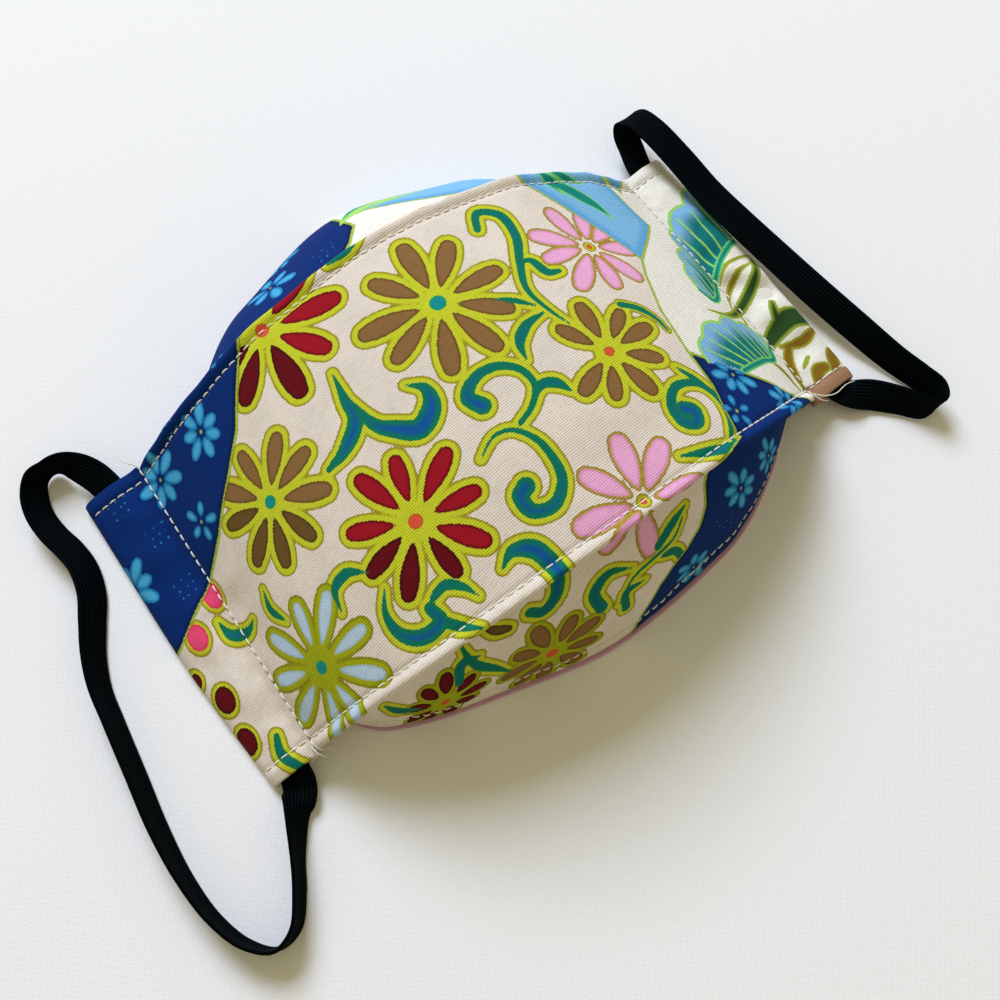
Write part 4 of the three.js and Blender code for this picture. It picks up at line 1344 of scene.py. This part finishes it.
@dataclass
class Casing:
    """A cloth channel across one end, open at both mouths.

    Attributes:
        form: the shared shape.
        end: which of the two.
        rows: outline at the chin end, the middle and the nose end: the outer edge's X and Y and the seam's Y.
        start: where it meets the panel.
        edge_level: middle height at the outer edge.
        wall: thickness of the cloth around the channel.
        spacing: of the mesh.
        hem: from a mouth to its stitching.
        gather: height of the deep puckers where the elastic draws it up.
        channel: shares from the seam to the outer edge between which the channel runs.
        half_length: along the cloth, from its middle to a mouth.
    """

    form: MaskForm
    end: End
    rows: tuple[tuple[float, float, float, float], ...]
    start: float = 74.15
    edge_level: float = 2.6
    wall: float = 1.15
    spacing: float = 0.5
    hem: float = 3.6
    gather: float = 0.15
    channel: tuple[float, float] = (0.13, 0.92)
    half_length: float = 42.0

    # Share from the seam to the outer edge, rise of the top over the sloping level, drop of the underside.
    PROFILE = np.array([
        (0, 0, 4.2), (0.12, -0.5, 4.2), (0.32, 0.1, 4.5), (0.55, 0.7, 4.6), (0.7, 0.6, 9), (0.86, 0.5, 9),
        (0.95, 0.0, 2.6), (1, -0.9, 1.7)])

    def outline(self, column: int, v: Array) -> Array:
        """A column of the outline at a place from -1, the chin end, to 1, the nose end."""
        table = np.array(self.rows)
        return monotone(table[:, 0], table[:, column], v)

    def place(self, u: Array, v: Array, z: Array) -> Array:
        """Point at a share of the casing's depth, a place along it and a height."""
        x = self.start * (1 - u) + self.outline(1, v) * u
        y = self.outline(3, v) * (1 - u) + self.outline(2, v) * u
        return np.stack([self.end.value * x, y + 0 * x, z + 0 * x], axis=-1)

    def levels(self, u: Array, v: Array) -> tuple[Array, Array]:
        """Heights of the top and the underside, which is pressed flat where it reaches the surface."""
        form, station = self.form, np.array([self.end.value * self.form.panel_end])
        chin_y, nose_y = form.section("chin_y", station), form.section("nose_y", station)
        seam_y = np.clip(self.outline(3, v), -chin_y, nose_y)
        level = form.height(station + 0 * seam_y, seam_y) * (1 - u) + self.edge_level * u
        top = level + monotone(self.PROFILE[:, 0], self.PROFILE[:, 1], u)
        bottom = np.maximum(0, level - monotone(self.PROFILE[:, 0], self.PROFILE[:, 2], u))
        return top, bottom

    def relief(self, u: Array, v: Array) -> Array:
        """How far the top stands off its plain surface: grooves, puckers and slack over the elastic."""
        run = v * self.half_length
        mouth = self.half_length - np.abs(run)
        groove = -0.16 * bell(u * 15, 0.9) - 0.32 * bell(mouth - self.hem, 0.6)
        roll = 0.3 * np.sin(np.pi * np.clip(mouth / self.hem, 0, 1)) * np.clip(6 * u, 0, 1)
        slack = 0.42 * np.sin(run / 4.6 + 2.2 * u + 1.5 * np.sin(run / 13)) + 0.2 * np.sin(run / 2.1 - 3 * u)
        middle = np.sin(np.pi * np.clip(u, 0, 1)) * np.clip((mouth - self.hem) / 6, 0, 1)
        pucker = 0.1 * np.sin(run / 0.9 + np.sin(run / 5)) * bell(u * 15 - 1, 3) * np.clip(8 * u, 0, 1)
        drawn = np.sin(run / 2.7 + 3.5 * u + 1.2 * np.sin(run / 6)) + 0.5 * np.sin(run / 1.5 - 2 * u)
        return groove + roll + slack * middle + pucker + self.gather * drawn * bell(run + 8, 22) * middle

    def surface(self, u: Array, v: Array) -> Array:
        """Point of the sewn top."""
        return self.place(u, v, self.levels(u, v)[0] + self.relief(u, v))

    def skin(self) -> Skin:
        """The casing as a hoop: its outer skin from mouth to mouth, and back through the channel."""
        v = np.linspace(-1, 1, round(84 / self.spacing))[:, None]
        count = round(17 / self.spacing)
        u = (1 - np.cos(np.pi * np.linspace(0, 1, count)))[None] / 2
        u = 0.5 * u + 0.5 * np.linspace(0, 1, count)[None]
        bottom = self.levels(u, v)[1]
        outside = np.concatenate([self.surface(u, v), self.place(u, v, bottom)[:, ::-1]], axis=1)
        start, stop = self.channel
        inner = start + (stop - start) * u
        top, low = self.levels(inner, v)
        ceiling = np.maximum(top - self.wall, low + self.wall + 0.1)
        floor = self.place(inner, v, low + self.wall)
        inside = np.concatenate([self.place(inner, v, ceiling), floor[:, ::-1]], axis=1)
        cos, sin = half_turn(5)
        turns = []
        for last, way in ((-1, 1), (0, -1)):
            middle, half = (outside[last] + inside[last]) / 2, (outside[last] - inside[last]) / 2
            push = np.array([0, way * self.wall / 2, 0])
            turn = middle + half * cos[:, None, None] + push * sin[:, None, None]
            turns.append(turn if way > 0 else turn[::-1])
        ring = on_table(np.concatenate([outside, turns[0], inside[::-1], turns[1]]))
        form = self.form
        beyond = (form.flat(np.abs(ring[..., 0])))
        outer_edge = form.flat(self.outline(1, np.array([0.0])))[0]
        lower = np.zeros(ring.shape[1], bool)
        lower[count:] = True
        beyond = np.where(lower[None], 2 * outer_edge - beyond, beyond)
        flat = np.stack([self.end.value * beyond, ring[..., 1], 0 * beyond], axis=-1)
        traits = traits_of(flat)
        if self.end is End.RIGHT:
            self.bind_mouth(ring, traits)
        return Skin.grid(ring, traits, hoop=True)

    def bind_mouth(self, ring: Array, traits: dict[str, Array]) -> None:
        """Inks the turned hem at the chin mouth tan."""
        ink = Print.INKS.index(Ink.HEM)
        knots = np.linspace(-1, 1, 50)
        v = np.interp(ring[..., 1], self.outline(2, knots), self.half_length * knots)
        traits[f"ink_{ink // 3}"][..., ink % 3] = np.clip(self.half_length + v - self.hem * 0.8, -9, 9)

    def seams(self) -> list["Seam"]:
        """Stitching round both mouths."""
        made = []
        for way in (-1, 1):
            u = np.linspace(0.05, 0.94, 60)
            v = np.full(60, way * (1 - self.hem / self.half_length))
            made.append(Seam(self.surface(u, v), np.tile([0.0, 0.0, 1.0], (60, 1))))
        return made

    def build(self, shift: Array, material: bpy.types.Material) -> bpy.types.Object:
        """Makes the piece."""
        word = self.end.name.lower()
        piece = self.skin().write(f"casing_{word}_cloth", shift)
        dress(piece, material, f"casing_{word}")
        return piece


# ---- Ear loops ----


@dataclass
class EarLoop:
    """A band of flat elastic, once round from inside the nose end of its casing to the same place.

    Attributes:
        end: which of the two.
        rows: X, Y, lift above where it would lie, compass of its width, and lean from flat, in degrees.
        width: of the band.
        thickness: of the band.
        ribs: ribs across it.
        clearance: under a stretch that lies on the surface.
        steps: rings along it.
    """

    end: End
    rows: tuple[tuple[float, float, float, float, float], ...]
    width: float = 8.0
    thickness: float = 1.0
    ribs: int = 9
    clearance: float = 0.15
    steps: int = 560

    def route(self) -> tuple[Array, Array, Array]:
        """The band's middle, evenly spaced, and the ways of its width and its face there."""
        table = np.array(self.rows, float)
        lean = np.radians(table[:, 4])
        rest = self.width / 2 * np.abs(np.sin(lean)) + self.thickness / 2 * np.abs(np.cos(lean))
        rest = rest + self.clearance
        middle = np.stack([table[:, 0], table[:, 1], rest + table[:, 2]], axis=1)
        twist = np.radians(table[:, 3:5])
        fine = np.linspace(0, 1, 2001)
        along = lengths(spline(middle, fine, True))
        t = np.interp(np.linspace(0, along[-1], self.steps), along, fine)
        line = spline(middle, t, True)
        tangent = unit(np.gradient(line, axis=0))
        across, lean = spline(twist, t, False).T
        width = np.stack([np.cos(across) * np.cos(lean), np.sin(across) * np.cos(lean), np.sin(lean)], axis=1)
        width = unit(width - tangent * (width * tangent).sum(axis=1, keepdims=True))
        return line, width, np.cross(tangent, width)

    def section(self) -> Array:
        """The band's section as a ring: ribbed faces joined by round edges."""
        radius = self.thickness / 2 - 0.06
        flat = self.width / 2 - radius
        u = np.linspace(-flat, flat, 4 * self.ribs + 1)
        rib = 0.07 * np.cos(2 * np.pi * self.ribs * (u + flat) / (2 * flat) + np.pi)
        cos, sin = half_turn(4)
        face = np.stack([u, radius + rib], axis=1)
        edge = np.stack([flat + radius * sin, radius * cos], axis=1)
        return np.concatenate([face, edge, -face, -edge])

    def build(self, shift: Array, material: bpy.types.Material) -> bpy.types.Object:
        """Makes the band and logs its length."""
        line, width, face = self.route()
        section = self.section()
        across, through = section[None, :, :1], section[None, :, 1:]
        points = line[:, None] + width[:, None] * across + face[:, None] * through
        points = on_table(points, self.clearance / 2)
        along = lengths(line)
        band = np.stack([np.broadcast_to(along[:, None], points.shape[:2]),
                         np.broadcast_to(section[None, :, 0], points.shape[:2]),
                         np.broadcast_to(section[None, :, 1], points.shape[:2])], axis=-1)
        word = self.end.name.lower()
        piece = Skin.grid(points, {"band": band}).write(f"ear_loop_{word}_elastic", shift)
        dress(piece, material, f"ear_loop_{word}")
        path = ((line[::4] + shift) * MM).tolist() + [((line[-1] + shift) * MM).tolist()]
        mouth = int(np.argmin(np.abs(along - 15.5)))
        ((line[mouth] + shift) * MM).tolist()
        LOG.info("%s: %.1f mm round", piece.name, along[-1])
        return piece


LEFT_LOOP = (
    (-83.0, 27, 1.9, 0, 16), (-83.0, 43, 1.9, 0, 16), (-85.0, 49.5, 2.4, 35, 26),
    (-88.5, 54, 1.6, 55, 56), (-92.5, 56.2, 0.6, 80, 86), (-96.4, 55.6, 0.2, 125, 70),
    (-99.0, 52, 0, 155, 54), (-100.2, 47, 0, 175, 47), (-99.8, 41, 0, 190, 42),
    (-98.4, 35, 0, 192, 40), (-97.8, 29, 0, 180, 45), (-99.2, 22, 0, 163, 51),
    (-102.4, 15.5, 0, 155, 57), (-105.8, 8.5, 0, 157, 63), (-108.2, 1, 0, 168, 67),
    (-109.4, -8, 0, 172, 69), (-111.0, -21.5, 0, 174, 70), (-112.6, -35, 0, 176, 72),
    (-113.0, -47.5, 0, 184, 77), (-111.8, -58.5, 0, 194, 80), (-108.6, -67, 0, 215, 82),
    (-103.8, -71.6, 0, 255, 88), (-98.4, -70.4, 0, 300, 97), (-93.8, -64.6, 0, 328, 100),
    (-89.6, -57, 0, 334, 104), (-84.8, -49, 0.5, 344, 130), (-82.1, -45.2, 1.2, 352, 184),
    (-81.1, -42, 1.6, 359, 198), (-81.1, -34, 1.8, 360, 198), (-82.8, 0, 2, 360, 197),
    (-83.0, 26, 1.9, 360, 196),
)
RIGHT_LOOP = (
    (82.2, 26, 1.6, 0, -14), (82.0, 41.5, 1.4, 0, -13), (83.6, 48.5, 2.6, 2, -10),
    (84.6, 53, 4.6, 3, -6), (85.6, 54.6, 7.4, 4, -3), (86.8, 52.6, 9.8, 5, 0),
    (88.0, 47, 10.2, 5, 3), (89.3, 36, 8.6, 5, 6), (90.2, 24, 6.6, 6, 9),
    (91.6, 12, 5.6, 8, 13), (93.4, 0, 4.4, 9, 18), (95.2, -14.5, 3.6, 10, 27),
    (97.4, -28.5, 2.4, 13, 41), (100.2, -41, 0.5, 14, 55), (102.4, -49, 0, 12, 62),
    (103.4, -54.2, 0, -12, 69), (101.4, -57.6, 0, -70, 82), (97.8, -56.4, 0, -122, 112),
    (94.2, -51.4, 0, -140, 128), (89.8, -46, 0.4, -148, 150), (84.4, -41.4, 1.5, -166, 190),
    (82.3, -36, 2, -178, 196), (82.6, 0, 2.15, -180, 197), (82.2, 25, 1.6, -180, 194),
)
LEFT_CASING = ((-1, 87.1, -41.2, -41.4), (0, 90.0, 0.6, 0), (1, 90.4, 42.8, 41.8))
RIGHT_CASING = ((-1, 89.9, -38.3, -39.8), (0, 90.3, 1.5, 0), (1, 88.8, 42.0, 39.6))


# ---- Stitching ----


@dataclass(frozen=True)
class Seam:
    """A line of stitching: its path over the cloth and the cloth's normals along it."""

    path: Array
    normals: Array

    def skin(self, pitch: float, length: float, radius: float, lift: float) -> Skin:
        """Every stitch of the seam.

        Each is a short tube that rises out of the cloth and dips back into it, thinner at both ends.

        Args:
            pitch: from one stitch to the next.
            length: of a stitch.
            radius: of the thread.
            lift: of a stitch's middle above the cloth.

        Returns:
            The stitches as one mesh.
        """
        along = lengths(self.path)
        count = int(along[-1] / pitch)
        centre = (np.arange(count) + 0.5) * along[-1] / count
        t = np.linspace(-0.5, 0.5, 7)
        at = centre[:, None] + length * t[None]
        line = np.stack([np.interp(at, along, self.path[:, k]) for k in range(3)], axis=-1)
        normal = unit(np.stack([np.interp(at, along, self.normals[:, k]) for k in range(3)], axis=-1))
        tangent = unit(np.gradient(line, axis=1))
        side = unit(np.cross(tangent, normal))
        line = line + normal * (lift * (1 - (2 * t) ** 6) - 0.4 * radius)[None, :, None]
        thin = radius * np.array([0.4, 0.85, 1, 1, 1, 0.85, 0.4])
        turn = np.linspace(0, 2 * np.pi, 6, endpoint=False)
        ring = (line[:, :, None] + (normal[:, :, None] * np.sin(turn)[None, None, :, None]
                                    + side[:, :, None] * np.cos(turn)[None, None, :, None])
                * thin[None, :, None, None])
        ply = np.stack(np.broadcast_arrays(at[:, :, None], turn[None, None], 0.0), axis=-1)
        return Skin.join([Skin.grid(ring[k], {"ply": ply[k]}) for k in range(count)])


@dataclass
class Topstitching:
    """All the visible thread: the stitches of every seam and the cut tails at the corners.

    Attributes:
        seams: the lines of stitching.
        tails: points that each loose tail passes through.
        pitch: from one stitch to the next.
        length: of a stitch.
        radius: of the thread.
        lift: of a stitch's middle above the cloth.
    """

    seams: list[Seam]
    tails: list[Array]
    pitch: float = 2.5
    length: float = 2.15
    radius: float = 0.22
    lift: float = 0.33

    def tail(self, points: Array) -> Skin:
        """One loose tail: a thin tube along a smooth curve through its points."""
        line = spline(points, np.linspace(0, 1, 24), True)
        tangent = unit(np.gradient(line, axis=0))
        side = unit(np.cross(tangent, [0.1, 0.2, 1.0]))
        rise = np.cross(side, tangent)
        turn = np.linspace(0, 2 * np.pi, 6, endpoint=False)
        radius = self.radius * np.linspace(0.9, 0.5, 24)[:, None, None]
        ring = line[:, None] + (side[:, None] * np.cos(turn)[None, :, None]
                                + rise[:, None] * np.sin(turn)[None, :, None]) * radius
        ply = np.stack(np.broadcast_arrays(lengths(line)[:, None], turn[None], 0.0), axis=-1)
        return Skin.grid(on_table(ring), {"ply": ply})

    def build(self, shift: Array, material: bpy.types.Material) -> bpy.types.Object:
        """Makes the stitches and tails as one piece."""
        stitches = [seam.skin(self.pitch, self.length, self.radius, self.lift) for seam in self.seams]
        tails = [self.tail(points) for points in self.tails]
        piece = Skin.join(stitches + tails).write("topstitching", shift)
        dress(piece, material)
        return piece


# ---- Studio ----


@dataclass
class Studio:
    """Camera, floor and lights, in millimetres and degrees.

    Attributes:
        target: what the camera looks at, in the part's millimetres.
        distance: from the target.
        azimuth: of the camera round the part.
        elevation: of the camera.
        roll: of the picture.
        lens: focal length for a 36 mm sensor.
        floor: side of the floor.
    """

    target: tuple[float, float, float] = (-7.3, -17.84, 15.0)
    distance: float = 260.3
    azimuth: float = -35.19
    elevation: float = 71.24
    roll: float = 0.25
    lens: float = 39.62
    floor: float = 4000.0

    def camera(self, shift: Array) -> None:
        """Sets the camera at its distance along its azimuth and elevation, looking at the target."""
        turn, rise = math.radians(self.azimuth), math.radians(self.elevation)
        back = np.array([math.sin(turn) * math.cos(rise), -math.cos(turn) * math.cos(rise), math.sin(rise)])
        right = np.array([math.cos(turn), math.sin(turn), 0.0])
        up = np.cross(back, right)
        roll = math.radians(self.roll)
        x_axis = math.cos(roll) * right + math.sin(roll) * up
        y_axis = np.cross(back, x_axis)
        data = bpy.data.cameras.new("camera")
        data.lens, data.sensor_width = self.lens, 36.0
        data.clip_start, data.clip_end = 0.005, 20.0
        eye = bpy.data.objects.new("camera", data)
        place = (np.array(self.target) + back * self.distance + shift) * MM
        turn = np.stack([x_axis, y_axis, back], axis=1)
        eye.matrix_world = Matrix(np.block([
            [turn, place[:, None]], [np.zeros((1, 3)), np.ones((1, 1))]]).tolist())
        bpy.context.scene.collection.objects.link(eye)
        bpy.context.scene.camera = eye

    def lamp(self, name: str, at: Rgb, size: float, power: float, colour: Rgb) -> None:
        """Adds a square soft light that faces the part, with its place and size in metres."""
        data = bpy.data.lights.new(name, "AREA")
        data.shape, data.size, data.energy, data.color = "SQUARE", size, power, colour
        light = bpy.data.objects.new(name, data)
        light.location = at
        light.rotation_euler = (-Vector(at)).to_track_quat("-Z", "Y").to_euler()
        bpy.context.scene.collection.objects.link(light)

    def build(self, material: bpy.types.Material) -> None:
        """Lays the floor, hangs the lights and sets the sky."""
        side = self.floor / 2 * MM
        mesh = bpy.data.meshes.new("floor")
        corners = [(-side, -side, 0), (side, -side, 0), (side, side, 0), (-side, side, 0)]
        mesh.from_pydata(corners, [], [(0, 1, 2, 3)])
        mesh.materials.append(material)
        floor = bpy.data.objects.new("floor", mesh)
        bpy.context.scene.collection.objects.link(floor)
        self.lamp("window", (0.38, 2.0, 1.8), 1.25, 91.0, (0.74, 0.81, 1.0))
        world = bpy.data.worlds.new("sky")
        world.use_nodes = True
        sky = world.node_tree.nodes["Background"]
        sky.inputs["Color"].default_value = (1.0, 0.88, 0.52, 1.0)
        sky.inputs["Strength"].default_value = 0.45
        scene = bpy.context.scene
        scene.world = world
        scene.view_settings.view_transform = "Standard"
        scene.view_settings.look = "None"


# ---- The whole mask ----


def thread_tails(panel: FrontPanel) -> list[Array]:
    """Routes of the cut thread ends that stand out at the corners of the casings."""
    end = panel.form.panel_end

    def corner(side: Side, x: float) -> Array:
        """Point of the panel beside a casing's seam, just inside a ridge."""
        ridge = panel.form.section(f"{side.name.lower()}_y", np.array([math.copysign(end, x)]))
        return panel.surface(np.array([x]), side.value * (ridge - 1))[0]

    nose_left = corner(Side.NOSE, -end + 0.2)
    chin_left = corner(Side.CHIN, -end + 0.2)
    chin_right = corner(Side.CHIN, end - 0.2)
    return [
        nose_left + np.array([(0, 0, 0), (-0.6, 1.6, 0.5), (-2.2, 3.4, 0.9), (-3.2, 6.2, 0.6)]),
        nose_left + np.array([(0.4, -0.6, 0), (1.2, 0.8, 0.5), (0.9, 2.6, 0.2)]),
        chin_left + np.array([(0, 0, 0), (0.8, -1.6, 0.1), (2.4, -2.0, -1.0), (3.2, -4.0, -2.0)]),
        chin_left + np.array([(-0.8, 0.2, 0), (-0.4, -1.8, -0.2), (0.6, -3.2, -1.4)]),
        chin_right + np.array([(0.6, 0.2, 0), (3.2, -1.8, -0.6), (6.4, -2.6, -1.4), (9.6, -2.2, -1.2),
                               (12.4, -2.6, -1.6)]),
        chin_right + np.array([(0.4, 0, 0), (1.4, -1.8, -0.6), (3.6, -3.0, -2.2)]),
    ]


def main() -> None:
    """Builds every piece in order and reports it."""
    logging.basicConfig(level=logging.INFO, format="%(name)s %(message)s")
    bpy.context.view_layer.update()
    form = MaskForm()
    shift = form.shift()
    studio = Studio()
    studio.camera(shift)

    elastic = Elastic().material()
    EarLoop(End.LEFT, LEFT_LOOP).build(shift, elastic)
    EarLoop(End.RIGHT, RIGHT_LOOP).build(shift, elastic)

    printed = Cotton("printed_cotton", linear(230, 219, 206), printed=True).material()
    inner = Cotton("lining_cotton", linear(212, 166, 196), thread=0.5).material()
    panel = FrontPanel(form)
    flaps = [Flap(form, Side.NOSE), Flap(form, Side.CHIN, flat_depth=54.0)]
    casings = [Casing(form, End.LEFT, LEFT_CASING), Casing(form, End.RIGHT, RIGHT_CASING, gather=1.35)]
    panel.build(shift, printed)
    for piece in flaps + casings:
        piece.build(shift, printed)
    Lining(form).build(shift, inner)
    seams = [seam for piece in (panel, *flaps, *casings) for seam in piece.seams()]
    Topstitching(seams, thread_tails(panel)).build(shift, Thread().material())

    studio.build(PaleFloor().material())


if __name__ == "__main__":
    main()
